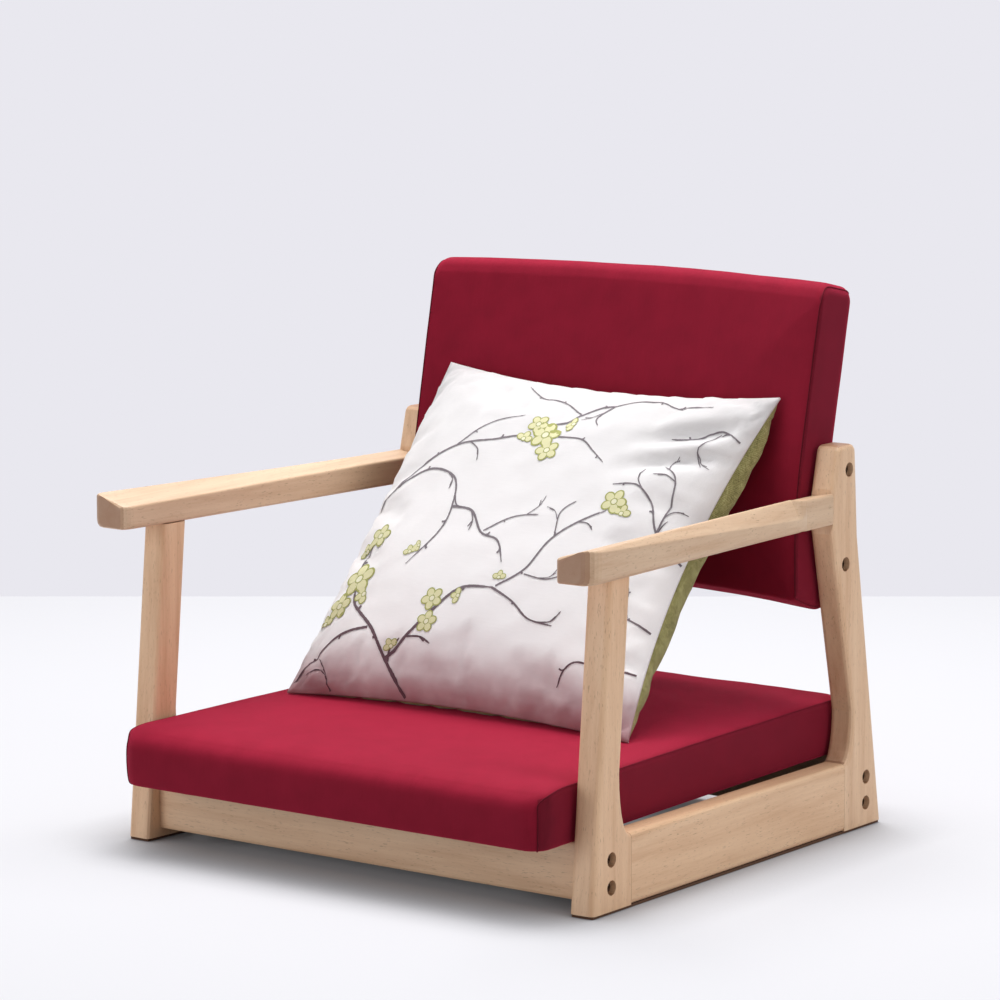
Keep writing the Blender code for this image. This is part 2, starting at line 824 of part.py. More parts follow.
def back_levels(skin):
    # (depth, inset, inset at the top) round the rear edge, over the sides, round the front edge
    # at the top and over the crown, at a depth below the outer face
    levels = []
    round_start = back_rear_depth - back_rear_round
    for k in range(rear_steps):
        turn = math.pi / 2 * k / rear_steps
        depth = round_start + (back_rear_round - skin) * math.cos(turn)
        ease = 1 - math.sin(turn)
        levels.append((depth, skin + back_hem_step * ease, skin + (back_rear_round - skin) * ease))
    levels += [(round_start, skin, skin), (0.0, skin, skin)]
    round_start = back_front_depth - back_front_round
    for k in range(round_steps):
        turn = math.pi / 2 * k / round_steps
        depth = round_start + (back_front_round - skin) * math.sin(turn)
        top_inset = skin + (back_front_round - skin) * (1 - math.cos(turn))
        levels.append((-depth, skin + (below_seam_inset if k == round_steps - 1 else 0.0), top_inset))
    skin_here = skin * seam_skin_share
    levels.append((-back_front_depth + skin_here, seam_inset + skin_here, back_front_round))
    for share in back_shares:
        depth = -back_front_depth - back_crown * (1 - (1 - share) ** 2) - seam_rise + skin
        inset = back_crown_reach * share + skin * (1 - share)
        levels.append((depth, inset, blend(back_front_round, back_crown_reach, share)))
    return levels


rear_face = back_rear_depth
rear_inside = rear_face - cover_thickness
outer = back_levels(0.0)
inner = back_levels(cover_thickness)
hem = [rear_level(rear_inside, cover_hem), rear_level(rear_face, cover_hem)]
shell = back_loft(list(reversed(inner)) + hem + outer, len(inner))
back_cover = make_object("back_cover", shell, crimson_fabric, chair)

back_flat = tuple(back_crown_reach * share for share in back_shares[1:])
back_inset = cover_thickness + sheet_gap
board_rear = back_rear_depth - back_inset
board_front = board_rear - back_board_thickness
back_board_offset = (board_front + board_rear) / 2
levels = [rear_level(board_rear, i) for i in reversed(back_flat)] + back_levels(back_inset)[:rear_steps + 1]
levels += [(board_front, back_inset, back_inset)] + [(board_front, i, i) for i in back_flat]
back_board = make_object("back_board", back_loft(levels), plywood, chair)

foam_inset = cover_thickness + foam_gap
foam_rear = board_front - sheet_gap
levels = [(foam_rear, i, i) for i in reversed(back_flat)] + [(foam_rear, foam_inset, foam_inset)]
levels += back_levels(foam_inset)[rear_steps + 2:]
make_object("back_foam", back_loft(levels), foam_grey, chair)

panel_inset = cover_hem + lining_clearance
levels = [rear_level(rear_face, i) for i in reversed(back_flat)] + [rear_level(rear_face, panel_inset)]
levels += [rear_level(rear_inside, i) for i in (panel_inset, *back_flat)]
rear_panel = make_object("back_rear_panel", back_loft(levels), crimson_fabric, chair)

# Bolts and threaded inserts, square to their side frame. Along them, x runs inward from the outer face.
front_bolt_y = front_rail_y + cross_rail_thickness / 2
rear_bolt_y = rear_rail_y + cross_rail_thickness / 2


def back_bolt_y(height, offset):
    # Aimed at the middle of the board where the insert sits, then moved by the offset
    drift = (frame_thickness + back_insert_length / 2) * math.tan(splay)
    return back_centre(height) + back_board_offset + drift + offset


bolt_places = {
    "front_low": (front_bolt_y, low_bolt_height, "front"),
    "front_high": (front_bolt_y, high_bolt_height, "front"),
    "rear_low": (rear_bolt_y, low_bolt_height, "rear"),
    "rear_high": (rear_bolt_y, high_bolt_height, "rear"),
    "back_low": (back_bolt_y(back_low_bolt_height, back_low_bolt_offset), back_low_bolt_height, "back"),
    "back_high": (back_bolt_y(back_high_bolt_height, back_high_bolt_offset), back_high_bolt_height, "back"),
}
head_top = counterbore_depth - bolt_head_height - gap
head_base = counterbore_depth - gap
bore = bolt_radius + bolt_fit
for label, side in sides.items():
    frame = frames[label]
    for spot, (y, z, partner) in bolt_places.items():
        place = (0.0, y, z)
        turn = (0.0, 0.0, 0.0) if side < 0 else (0.0, 0.0, math.pi)
        bolt_end = head_base + (back_bolt_length if partner == "back" else bolt_length)
        rings = [hexagon(bolt_socket_width, x) for x in (head_top + bolt_socket_depth, head_top)]
        steps = [(bolt_head_radius - bolt_head_chamfer, head_top),
                 (bolt_head_radius, head_top + bolt_head_chamfer),
                 (bolt_head_radius, head_base), (bolt_radius, head_base),
                 (bolt_radius, bolt_end - bolt_tip_chamfer), (bolt_radius - bolt_tip_chamfer, bolt_end)]
        rings += [circle(radius, along) for radius, along in steps]
        turned(f"bolt_{spot}_{label}", rings, bolt_steel, frame, place, turn)

        # The insert starts just inside the piece that the bolt holds
        start = frame_thickness + gap + insert_recess
        end = start + insert_length
        if partner == "back":
            board_gap = frame_mid_half_width - y * math.sin(splay) - (back_half - back_inset)
            start = board_gap / math.cos(splay) + insert_recess
            end = start + back_insert_length
        rings = [circle(radius, along) for radius, along in
                 ((insert_radius, start), (insert_radius, end), (bore, end), (bore, start))]
        turned(f"insert_{spot}_{label}", rings, insert_zinc, frame, place, turn, closed=True)

        steps = [(counterbore_radius, -cut_margin), (counterbore_radius, counterbore_depth),
                 (bore, counterbore_depth), (bore, frame_thickness + cut_margin)]
        rings = [circle(radius, along, hole_segments) for radius, along in steps]
        hole = turned(f"bolt_hole_{spot}_{label}", rings, bolt_steel, frame, place, turn)
        cut(legs[label] if partner == "front" else posts[label], hole)
        steps = [(insert_radius + gap, frame_thickness - cut_margin), (insert_radius + gap, end + gap),
                 (bore, end + gap), (bore, bolt_end + tenon_end_gap)]
        rings = [circle(radius, along) for radius, along in steps]
        pocket = turned(f"insert_hole_{spot}_{label}", rings, bolt_steel, frame, place, turn)
        cut({"front": front_rail, "rear": rear_rail, "back": back_board}[partner], pocket)
        if partner == "back":
            rings = [circle(cover_hole_radius, x) for x in (frame_thickness - cut_margin, start)]
            cut(back_cover, turned(f"cover_hole_{spot}_{label}", rings, bolt_steel, frame, place, turn))

# Pillow: two panels sewn along a flat seam, round a fibre insert
lean = math.radians(pillow_lean_degrees)
up_axis = Vector((0.0, math.sin(lean), math.cos(lean)))
front_axis = Vector((0.0, -math.cos(lean), math.sin(lean)))


def pillow_plane(u, v):
    # The seam plane, u across and v up, both from -1 to 1, with edges drawn in at their middles
    across = u * (1 - pillow_edge_pull_share * (1 - v * v))
    along = v * (1 - pillow_edge_pull_share * (1 - u * u))
    share = (along + 1) / 2
    half = blend(pillow_bottom_width, pillow_top_width, share) / 2
    x = blend(pillow_bottom_shift, pillow_top_shift, share) + across * half
    twist = -pillow_tilt * across * share / 2
    return Vector((x, 0.0, 0.0)) + up_axis * (share * pillow_side + twist)


def pillow_swell(u, v, flange_share):
    reach = 1 - flange_share
    a = max(1 - (abs(u) / reach) ** pillow_roundness_power, 0.0)
    b = max(1 - (abs(v) / reach) ** pillow_roundness_power, 0.0)
    return (a * b) ** pillow_fullness_power


def pillow_front(u, v):
    swell = pillow_front_depth * pillow_swell(u, v, pillow_front_flange_share)
    return pillow_plane(u, v) + front_axis * (pillow_seam_half + swell)


def pillow_back(u, v):
    # The filling bulges behind the seam and spills out past it at both sides, most near the top
    swell = pillow_back_depth * pillow_swell(u, v, pillow_back_flange_share)
    start = pillow_overflow_start_share
    past = max(min(abs(u), 1.0) - start, 0.0)
    height = (3 + min(v, 1.0)) / 4
    spill = 4 * past * (1 - start - past) / (1 - start) ** 2 * (1 - min(v * v, 1.0) ** 2) * height
    across = u + math.copysign(pillow_overflow_share * spill, u)
    return pillow_plane(across, v) - front_axis * (pillow_seam_half + swell)


probe_share = 0.01


def sunk(surface, way, depth):
    # The same surface moved inward along its own normal
    def point(u, v):
        along_u = surface(min(u + probe_share, 1.0), v) - surface(max(u - probe_share, -1.0), v)
        along_v = surface(u, min(v + probe_share, 1.0)) - surface(u, max(v - probe_share, -1.0))
        return surface(u, v) - along_u.cross(along_v).normalized() * way * depth
    return point


def spaced(limit):
    # Positions from -limit to limit, closer together near the ends
    count = pillow_segments
    return [limit * math.sin(math.pi / 2 * (2 * k / count - 1)) for k in range(count + 1)]


def grid_solid(front_face, rear_face_, stations):
    bm = bmesh.new()
    count = len(stations)
    front_verts = [[bm.verts.new(front_face(u, v)) for u in stations] for v in stations]
    rear_verts = [[bm.verts.new(rear_face_(u, v)) for u in stations] for v in stations]
    for grid in (front_verts, rear_verts):
        for j in range(count - 1):
            for i in range(count - 1):
                bm.faces.new((grid[j][i], grid[j][i + 1], grid[j + 1][i + 1]))
                bm.faces.new((grid[j][i], grid[j + 1][i + 1], grid[j + 1][i]))
    last = count - 1
    rim = [(0, i) for i in range(last)] + [(j, last) for j in range(last)]
    rim += [(last, i) for i in range(last, 0, -1)] + [(j, 0) for j in range(last, 0, -1)]
    for k in range(len(rim)):
        (a, b), (c, d) = rim[k], rim[(k + 1) % len(rim)]
        bm.faces.new((front_verts[a][b], front_verts[c][d], rear_verts[c][d], rear_verts[a][b]))
    return bm


def way_to(pad, points, way):
    # Shortest way from any of the points to the pad, straight along one axis
    tree = BVHTree.FromPolygons([v.co for v in pad.data.vertices], [p.vertices for p in pad.data.polygons])
    hits = [tree.ray_cast(point - way * pillow_drop_height, way) for point in points]
    return min(hit[3] for hit in hits if hit[3] is not None) - pillow_drop_height


# The pillow is let down onto the seat and comes back until its top meets the back pad
stations = spaced(1.0)
rear_surface = [pillow_back(u, v) for v in stations for u in stations]
down = Vector((0.0, 0.0, -1.0))
rearward = Vector((0.0, 1.0, 0.0))
place = Vector((0.0, seat_front + pillow_bottom_from_front, 0.0))
place.z = seat_bottom(place.y) + seat_wall + seat_crown
for way, pad in 2 * ((down, seat_cover), (rearward, back_cover)):
    place += way * (way_to(pad, [place + point for point in rear_surface], way) - pillow_rest_clearance)
pillow = bpy.data.objects.new("pillow", None)
bpy.context.scene.collection.objects.link(pillow)
pillow.parent = chair
pillow.location = place

front_panel = grid_solid(pillow_front, sunk(pillow_front, 1, pillow_cloth_thickness), stations)
make_object("pillow_front_panel", front_panel, printed_cotton, pillow)
back_panel = grid_solid(pillow_back, sunk(pillow_back, -1, pillow_cloth_thickness), stations)
make_object("pillow_back_panel", back_panel, olive_fabric, pillow)
inner_stations = stations[pillow_edge_steps:-pillow_edge_steps]
filling_depth = pillow_cloth_thickness + pillow_filling_gap
filling_front = sunk(pillow_front, 1, filling_depth)
filling_back = sunk(pillow_back, -1, filling_depth)
filling = grid_solid(filling_front, filling_back, inner_stations)
make_object("pillow_insert", filling, pillow_fibre, pillow)

# Put the origin under the middle of the box, which runs from the seat's front to the back pad's rear
box_front = min(vertex.co.y for vertex in seat_cover.data.vertices)
box_rear = max(vertex.co.y for pad in (back_cover, rear_panel) for vertex in pad.data.vertices)
chair.location = (0.0, -(box_front + box_rear) / 2, 0.0)
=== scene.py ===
import math
import random

import bmesh
import bpy
import numpy as np
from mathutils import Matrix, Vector, noise
from mathutils.bvhtree import BVHTree


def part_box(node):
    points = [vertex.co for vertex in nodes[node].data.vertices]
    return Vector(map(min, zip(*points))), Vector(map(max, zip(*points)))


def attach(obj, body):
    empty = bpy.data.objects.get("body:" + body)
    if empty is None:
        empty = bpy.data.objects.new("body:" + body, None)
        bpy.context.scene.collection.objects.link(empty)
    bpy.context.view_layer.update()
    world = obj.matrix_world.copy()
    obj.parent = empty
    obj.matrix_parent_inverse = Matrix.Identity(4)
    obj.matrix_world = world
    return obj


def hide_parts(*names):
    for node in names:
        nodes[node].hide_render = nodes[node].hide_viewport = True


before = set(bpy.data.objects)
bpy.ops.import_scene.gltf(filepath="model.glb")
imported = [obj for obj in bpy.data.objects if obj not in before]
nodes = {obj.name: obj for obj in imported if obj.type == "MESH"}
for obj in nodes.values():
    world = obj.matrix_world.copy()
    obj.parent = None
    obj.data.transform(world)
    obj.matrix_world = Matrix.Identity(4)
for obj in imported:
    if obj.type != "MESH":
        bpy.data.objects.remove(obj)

scene = bpy.context.scene
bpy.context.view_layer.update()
scene.view_settings.view_transform = "Standard"

# ---------------------------------------------------------------- measures shared with the CAD solids
base_depth = 0.517
foot_front, foot_rear = -base_depth / 2, base_depth / 2
frame_front_half, frame_rear_half = 0.285, 0.2695
frame_mid_half = (frame_front_half + frame_rear_half) / 2
splay = math.atan2(frame_front_half - frame_rear_half, base_depth)
seat_front = foot_front - 0.0445
seat_rear = foot_rear - 0.0235
seat_wall = 0.056
side_wall = 0.027
skin = 0.0010      # the cloth's rise over the foam's crown
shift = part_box("seat_cover")[0][1] - seat_front      # the CAD model's move in depth


def inner_half_width(y):
    # Half of the room between the side frames
    return frame_mid_half - side_wall / math.cos(splay) - math.tan(splay) * y


def blend(a, b, share):
    return a + (b - a) * share


def curve_through(points, steps):
    # Catmull-Rom through tuples, with the given steps between each two
    result = []
    last = len(points) - 1
    for i in range(last):
        p0, p1, p2, p3 = points[max(i - 1, 0)], points[i], points[i + 1], points[min(i + 2, last)]
        for k in range(steps):
            t = k / steps
            result.append(tuple(
                0.5 * (2 * b + (c - a) * t + (2 * a - 5 * b + 4 * c - d) * t * t
                       + (3 * b - a - 3 * c + d) * t * t * t)
                for a, b, c, d in zip(p0, p1, p2, p3)))
    result.append(tuple(points[-1]))
    return result


# ---------------------------------------------------------------- mesh helpers
def mesh_object(name, verts, faces, smooth=True, outward=True):
    # outward turns all faces of a closed mesh the same way round
    mesh = bpy.data.meshes.new(name)
    mesh.from_pydata([tuple(v) for v in verts], [], faces)
    if outward:
        bm = bmesh.new()
        bm.from_mesh(mesh)
        bmesh.ops.recalc_face_normals(bm, faces=bm.faces[:])
        bm.to_mesh(mesh)
        bm.free()
    if smooth:
        mesh.shade_smooth()
    obj = bpy.data.objects.new(name, mesh)
    scene.collection.objects.link(obj)
    return obj


def tree_of(obj):
    # The object's faces, for rays and nearest points
    mesh = obj.data
    return BVHTree.FromPolygons([v.co for v in mesh.vertices], [tuple(p.vertices) for p in mesh.polygons])


def lofted(name, rings, hubs):
    verts, faces = [], []
    for ring in rings:
        verts += ring
    count = len(rings[0])
    for r in range(len(rings) - 1):
        for i in range(count):
            j = (i + 1) % count
            faces.append((r * count + i, r * count + j, (r + 1) * count + j, (r + 1) * count + i))
    for start, hub in ((0, hubs[0]), ((len(rings) - 1) * count, hubs[1])):
        verts.append(hub)
        middle = len(verts) - 1
        for i in range(count):
            faces.append((start + i, start + (i + 1) % count, middle))
    return mesh_object(name, verts, faces)


def tube(name, path, radius, sides=8):
    # A closed round tube along a path of points
    verts, faces = [], []
    path = [Vector(p) for p in path]
    for i, here in enumerate(path):
        ahead = (path[min(i + 1, len(path) - 1)] - path[max(i - 1, 0)]).normalized()
        across = ahead.cross(Vector((0.3, 0.2, 1.0))).normalized()     # no seam runs along this vector
        up = across.cross(ahead)
        for k in range(sides):
            turn = 2 * math.pi * k / sides
            verts.append(here + (across * math.cos(turn) + up * math.sin(turn)) * radius)
    for i in range(len(path) - 1):
        for k in range(sides):
            n = (k + 1) % sides
            faces.append((i * sides + k, i * sides + n, (i + 1) * sides + n, (i + 1) * sides + k))
    faces.append(tuple(range(sides)))
    faces.append(tuple((len(path) - 1) * sides + k for k in range(sides)))
    return mesh_object(name, verts, faces)


def paint(obj, *materials):
    obj.data.materials.clear()
    for material in materials:
        obj.data.materials.append(material)


# ---------------------------------------------------------------- materials
def srgb(*colour):
    linear = [((c / 255 + 0.055) / 1.055) ** 2.4 if c > 10 else c / 255 / 12.92 for c in colour]
    return (*linear, 1.0)


class Paint:
    # A Principled material and short calls that add nodes to it
    def __init__(self, name, **sockets):
        self.material = bpy.data.materials.new(name)
        self.material.use_nodes = True
        self.tree = self.material.node_tree
        self.shader = self.tree.nodes["Principled BSDF"]
        for key, value in sockets.items():
            socket = key.replace("_", " ").title().replace("Ior", "IOR")
            self.shader.inputs[socket].default_value = value

    def node(self, kind, inputs=None, **attributes):
        made = self.tree.nodes.new("ShaderNode" + kind)
        for key, value in attributes.items():
            setattr(made, key, value)
        for key, value in (inputs or {}).items():
            if isinstance(value, bpy.types.NodeSocket):
                self.tree.links.new(value, made.inputs[key])
            else:
                made.inputs[key].default_value = value
        return made

    def coordinates(self):
        return self.node("TexCoord").outputs["Object"]

    def facing(self):
        # The three parts of the face's direction
        return self.node("SeparateXYZ", {0: self.node("NewGeometry").outputs["Normal"]}).outputs

    def math(self, operation, a, b=0.0):
        return self.node("Math", {0: a, 1: b}, operation=operation).outputs[0]

    def dot(self, vector, axis):
        return self.node("VectorMath", {0: vector, 1: tuple(axis)}, operation="DOT_PRODUCT").outputs["Value"]

    def mapped(self, vector, scale, location=(0, 0, 0)):
        return self.node("Mapping", {"Vector": vector, "Scale": scale, "Location": location}).outputs[0]

    def noise(self, vector, scale, detail=3.0, roughness=0.55):
        inputs = {"Vector": vector, "Scale": scale, "Detail": detail, "Roughness": roughness}
        return self.node("TexNoise", inputs).outputs["Fac"]

    def ramp(self, value, *stops):
        made = self.node("ValToRGB", {"Fac": value})
        elements = made.color_ramp.elements
        while len(elements) < len(stops):
            elements.new(0.5)
        for element, (place, colour) in zip(elements, stops):
            element.position = place
            element.color = colour
        return made.outputs["Color"]

    def range(self, value, low, high, to_low=0.0, to_high=1.0, smooth=False):
        inputs = {"Value": value, "From Min": low, "From Max": high, "To Min": to_low, "To Max": to_high}
        kind = "SMOOTHSTEP" if smooth else "LINEAR"
        return self.node("MapRange", inputs, interpolation_type=kind).outputs["Result"]

    def mix(self, share, a, b, kind="MIX"):
        return self.node("Mix", {0: share, 6: a, 7: b}, data_type="RGBA", blend_type=kind).outputs[2]

    def shaded(self, colour, value):
        # The colour times a grey value
        grey = self.node("CombineXYZ", {0: value, 1: value, 2: value}).outputs[0]
        return self.mix(1.0, colour, grey, "MULTIPLY")

    def weighed(self, *terms):
        # The sum of (value, weight) pairs
        total = None
        for value, weight in terms:
            term = self.math("MULTIPLY", value, weight)
            total = term if total is None else self.math("ADD", total, term)
        return total

    def colour(self, value):
        self.tree.links.new(value, self.shader.inputs["Base Color"])

    def roughness(self, value):
        self.tree.links.new(value, self.shader.inputs["Roughness"])

    def bump(self, height, distance, strength=1.0):
        inputs = {"Height": height, "Distance": distance, "Strength": strength}
        self.tree.links.new(self.node("Bump", inputs).outputs[0], self.shader.inputs["Normal"])


wood_light, wood_dark = (239, 203, 166), (219, 177, 139)
wood_fleck, wood_end_grain = (158, 118, 86), (160, 109, 77)


def wood(name, axis, seed, tint=(1.0, 1.0, 1.0)):
    # Pale close-grained wood with streaks along one axis, soft rings and short pores
    def tinted(colour):
        return srgb(*(c * t for c, t in zip(colour, tint)))

    p = Paint(name, roughness=0.5, coat_weight=0.22, coat_roughness=0.42)
    coords = p.coordinates()
    place = "XYZ".index(axis)
    along = [1.0, 1.0, 1.0]
    along[place] = 0.055
    streaky = p.mapped(coords, along, (seed, seed * 0.37, seed * 0.71))
    along[place] = 0.16
    porous = p.mapped(coords, along, (seed * 0.3, seed, seed * 0.5))
    streaks = p.noise(streaky, 70.0, 5.0, 0.65)
    fine = p.noise(streaky, 420.0, 3.0, 0.6)
    wander = p.noise(streaky, 9.0, 2.0, 0.5)
    rings = p.math("SINE", p.math("MULTIPLY", wander, 95.0))
    pores = p.noise(porous, 900.0, 1.0, 0.5)
    tone = p.weighed((streaks, 0.75), (fine, 0.25), (rings, 0.045))
    dark, light = tinted(wood_dark), tinted(wood_light)
    between = tuple(blend(a, b, 0.62) for a, b in zip(dark, light))
    base = p.ramp(tone, (0.34, dark), (0.52, between), (0.66, light))
    patches = p.range(p.noise(coords, 22.0, 2.0), 0.35, 0.65, 0.15, 0.55)
    flecks = p.math("MULTIPLY", p.range(pores, 0.63, 0.73), patches)
    base = p.mix(flecks, base, tinted(wood_fleck))
    end_grain = p.range(p.math("ABSOLUTE", p.facing()[place]), 0.55, 0.97, 0.0, 0.75, smooth=True)
    p.colour(p.mix(end_grain, base, tinted(wood_end_grain)))
    p.roughness(p.range(tone, 0.3, 0.7, 0.58, 0.42))
    p.bump(p.weighed((tone, 0.5), (flecks, -0.6)), 0.0004, 0.35)
    return p.material


def upholstery(name, light, dark, pitch=0.0009):
    # Tight plain-woven cloth: threads run along the two axes that a face spans
    p = Paint(name, roughness=0.78, sheen_weight=0.85, sheen_roughness=0.45,
              sheen_tint=srgb(250, 70, 108), specular_ior_level=0.12)
    coords = p.coordinates()
    place = p.node("SeparateXYZ", {0: coords}).outputs
    facing = p.facing()
    waves = [p.math("SINE", p.math("MULTIPLY", place[k], 2 * math.pi / pitch)) for k in range(3)]
    flats = [p.math("SUBTRACT", 1.0, p.math("ABSOLUTE", facing[k])) for k in range(3)]
    threads = p.weighed(*zip(waves, flats))
    mottle = p.noise(coords, 38.0, 4.0, 0.6)
    slub = p.noise(p.mapped(coords, (1.0, 0.08, 0.08)), 700.0, 2.0)
    tone = p.weighed((mottle, 0.7), (slub, 0.3), (threads, 0.05))
    base = p.ramp(tone, (0.30, srgb(*dark)), (0.70, srgb(*light)))
    # The cloth's colour is scaled by how far the face points up: painted light and shade
    p.colour(p.shaded(base, p.range(facing[2], 0.0, 1.0, 0.78, 1.12)))     # painted light and shade: lighter where the face points up, darker where it points sideways or down
    p.bump(p.weighed((threads, 1.0), (slub, 0.8)), 0.00012, 0.6)
    return p.material


up_lean = math.radians(39.0)
up_axis = Vector((0.0, math.sin(up_lean), math.cos(up_lean)))
front_axis = Vector((0.0, -math.cos(up_lean), math.sin(up_lean)))
pillow_place = Vector((0.0, -0.089308 + shift, 0.129203))
pillow_foot = up_axis.dot(pillow_place)
pillow_side = 0.399


def pillow_share(p, coords):
    # 0 at the pillow's bottom edge, 1 at its top edge
    rise = p.math("SUBTRACT", p.dot(coords, up_axis), pillow_foot)
    return p.math("DIVIDE", rise, pillow_side)


def woven(p, coords, pitch):
    # Height of a plain weave whose threads run across and up the pillow
    waves = [p.math("SINE", p.math("MULTIPLY", p.dot(coords, axis), 2 * math.pi / pitch))
             for axis in ((1.0, 0.0, 0.0), up_axis)]
    return p.math("MULTIPLY", *waves)


def cotton(name, upper, lower, fade, mottled=0.06, top_shade=0.0):
    # Printed pillow cloth. Its colour fades from one to the other toward the bottom edge, and is darkened a
    # little toward the top as painted shade.
    p = Paint(name, roughness=0.86, sheen_weight=0.08, specular_ior_level=0.25)
    coords = p.coordinates()
    cloudy = p.math("SUBTRACT", p.noise(coords, 16.0, 3.0, 0.55), 0.5)
    share = p.math("ADD", pillow_share(p, coords), p.math("MULTIPLY", cloudy, 0.14))
    slub = p.noise(p.mapped(coords, (0.06, 1.0, 1.0)), 900.0, 2.0)
    base = p.mix(p.range(share, *fade, smooth=True), srgb(*lower), srgb(*upper))
    grey = p.math("SUBTRACT", 1.0 + mottled * 0.5, p.math("MULTIPLY", slub, mottled))
    # Painted shade: the colour darkens toward the pillow's top
    if top_shade:
        grey = p.math("MULTIPLY", grey, p.range(share, 0.45, 1.0, 1.0, 1.0 - top_shade))
    p.colour(p.shaded(base, grey))
    p.bump(p.weighed((woven(p, coords, 0.0010), 1.0), (slub, 0.8)), 0.00012, 0.5)
    return p.material


def coarse_linen(name):
    # The pillow's back: thick olive cloth with uneven threads
    p = Paint(name, roughness=0.9, sheen_weight=0.15)
    coords = p.coordinates()
    across = p.noise(p.mapped(coords, (0.10, 1.0, 1.0)), 620.0, 2.0)
    along = p.noise(p.mapped(coords, (1.0, 0.12, 0.12)), 620.0, 2.0)
    tone = p.weighed((woven(p, coords, 0.0016), 0.12), (p.math("ADD", across, along), 0.5))
    p.colour(p.ramp(tone, (0.30, srgb(102, 96, 54)), (0.52, srgb(152, 148, 92)), (0.74, srgb(188, 183, 130))))
    p.bump(tone, 0.0006, 0.8)
    return p.material


def plain_cloth(name, colour, roughness, scale, contrast):
    # Matted or non-woven cloth
    p = Paint(name, roughness=roughness)
    fibres = p.noise(p.coordinates(), scale, 5.0, 0.7)
    dark = srgb(*(c * (1 - contrast) for c in colour))
    light = srgb(*(min(c * (1 + contrast), 255) for c in colour))
    p.colour(p.ramp(fibres, (0.3, dark), (0.7, light)))
    p.bump(fibres, 0.0004, 0.7)
    return p.material


def metal(name, colour, roughness, scale):
    p = Paint(name, roughness=roughness, metallic=1.0)
    wear = p.noise(p.coordinates(), scale, 4.0, 0.6)
    p.colour(p.ramp(wear, (0.3, srgb(*(c * 0.75 for c in colour))), (0.7, srgb(*colour))))
    p.roughness(p.range(wear, 0.3, 0.7, roughness - 0.08, roughness + 0.12))
    p.bump(wear, 0.0001, 0.3)
    return p.material


crimson = upholstery("crimson_weave", (156, 25, 52), (138, 19, 43))
crimson_back = upholstery("crimson_back", (153, 23, 49), (135, 18, 42))
# A darker copy of the crimson cloth for the pads' side panels: painted shade
crimson_side_shade = upholstery("crimson_side_shade", (128, 23, 43), (109, 18, 36))
# A dark copy of the crimson cloth for the seam ridges: painted shade of the seams' grooves
crimson_seam_shade = upholstery("crimson_seam_shade", (92, 10, 27), (74, 6, 20))
crimson_rear = upholstery("crimson_rear", (156, 29, 55), (138, 20, 45), 0.0012)
lining_cloth = plain_cloth("black_dust_cloth", (34, 33, 36), 0.9, 900.0, 0.35)
# Dark brown matted cloth for the thin strips under the rails
dark_strip_cloth = plain_cloth("brown_felt", (92, 64, 48), 0.95, 1400.0, 0.3)
steel = metal("bronzed_steel", (88, 66, 50), 0.42, 500.0)
zinc = metal("zinc_plate", (176, 164, 140), 0.35, 700.0)
cotton_front = cotton("printed_cotton", (249, 247, 248), (160, 108, 115), (-0.03, 0.19), top_shade=0.27)
olive = coarse_linen("olive_linen")

# ---------------------------------------------------------------- wood, felt and metal of the CAD model
wood_axes = {
    "front_leg": "Z", "rear_post": "Z", "side_rail": "Y", "armrest": "Y", "front_rail": "X",
    "rear_rail": "X", "seat_cleat": "X", "seat_board": "X", "back_board": "X", "arm_dowel": "Z",
}
tints = {"front_leg": (1.0, 0.985, 0.97), "armrest": (0.94, 0.955, 0.97), "side_rail": (1.0, 0.99, 0.975)}
for order, (name, node) in enumerate(sorted(nodes.items())):
    stem = next((key for key in wood_axes if name.startswith(key)), None)
    if stem:
        material = wood("wood_" + name, wood_axes[stem], 1.7 * order + 0.6, tints.get(stem, (1.0, 1.0, 1.0)))
    elif name.startswith("felt"):
        material = dark_strip_cloth
    elif name.startswith(("bolt", "seat_screw")):
        material = steel
    elif name.startswith("insert"):
        material = zinc
    else:
        continue
    paint(node, material)
    node.data.shade_smooth()
    node.data.set_sharp_from_angle(angle=math.radians(32))


# ---------------------------------------------------------------- upholstered pads
side_points, corner_points, end_points = 22, 9, 24


def quarter_outline():
    points = [("side", (k + 0.5) / side_points) for k in range(side_points)]
    points += [("corner", (k + 0.5) / corner_points) for k in range(corner_points)]
    points += [("end", 1 - (k + 0.5) / end_points) for k in range(end_points)]
    return points


def pad_outline(half_width_at, low, high, radius, inset, pull):
    # Round the pad from the middle of its left side through its low end
    middle, half = (low + high) / 2, (high - low) / 2
    width = half_width_at(middle) - inset
    radius = max(radius - inset, min(radius, half) / 4)
    left_low = []
    for kind, share in quarter_outline():
        turn = share * math.pi / 2
        if kind == "side":
            left_low.append((width - pull * math.cos(turn), share * (half - radius)))
        elif kind == "corner":
            left_low.append((width - radius * (1 - math.cos(turn)), half - radius * (1 - math.sin(turn))))
        else:
            left_low.append((share * (width - radius), half))
    points = [(-x, middle - t) for x, t in left_low]
    points += [(x, middle - t) for x, t in reversed(left_low)]
    points += [(x, middle + t) for x, t in left_low]
    points += [(-x, middle + t) for x, t in reversed(left_low)]
    return [(x * (half_width_at(t) - inset) / width, t) for x, t in points]


quarter = side_points + corner_points + end_points
ring_size = 4 * quarter
corner_middle = side_points + corner_points // 2
# Places in a ring: the four corners, in the order left low, right low, right high, left high
corners = (corner_middle, 2 * quarter - 1 - corner_middle,
           2 * quarter + corner_middle, 4 * quarter - 1 - corner_middle)

# ---- seat pad
seat_play, seat_corner, seat_pull = 0.0022, 0.022, 0.0015
seat_under_front, seat_under_rear = 0.066, 0.074
nose_length, nose_drop = 0.042, 0.010
front_from, front_blend = 0.016, 0.012
crown_reach, crown = 0.190, 0.0045


def seat_half_width(y):
    return inner_half_width(y) - seat_play


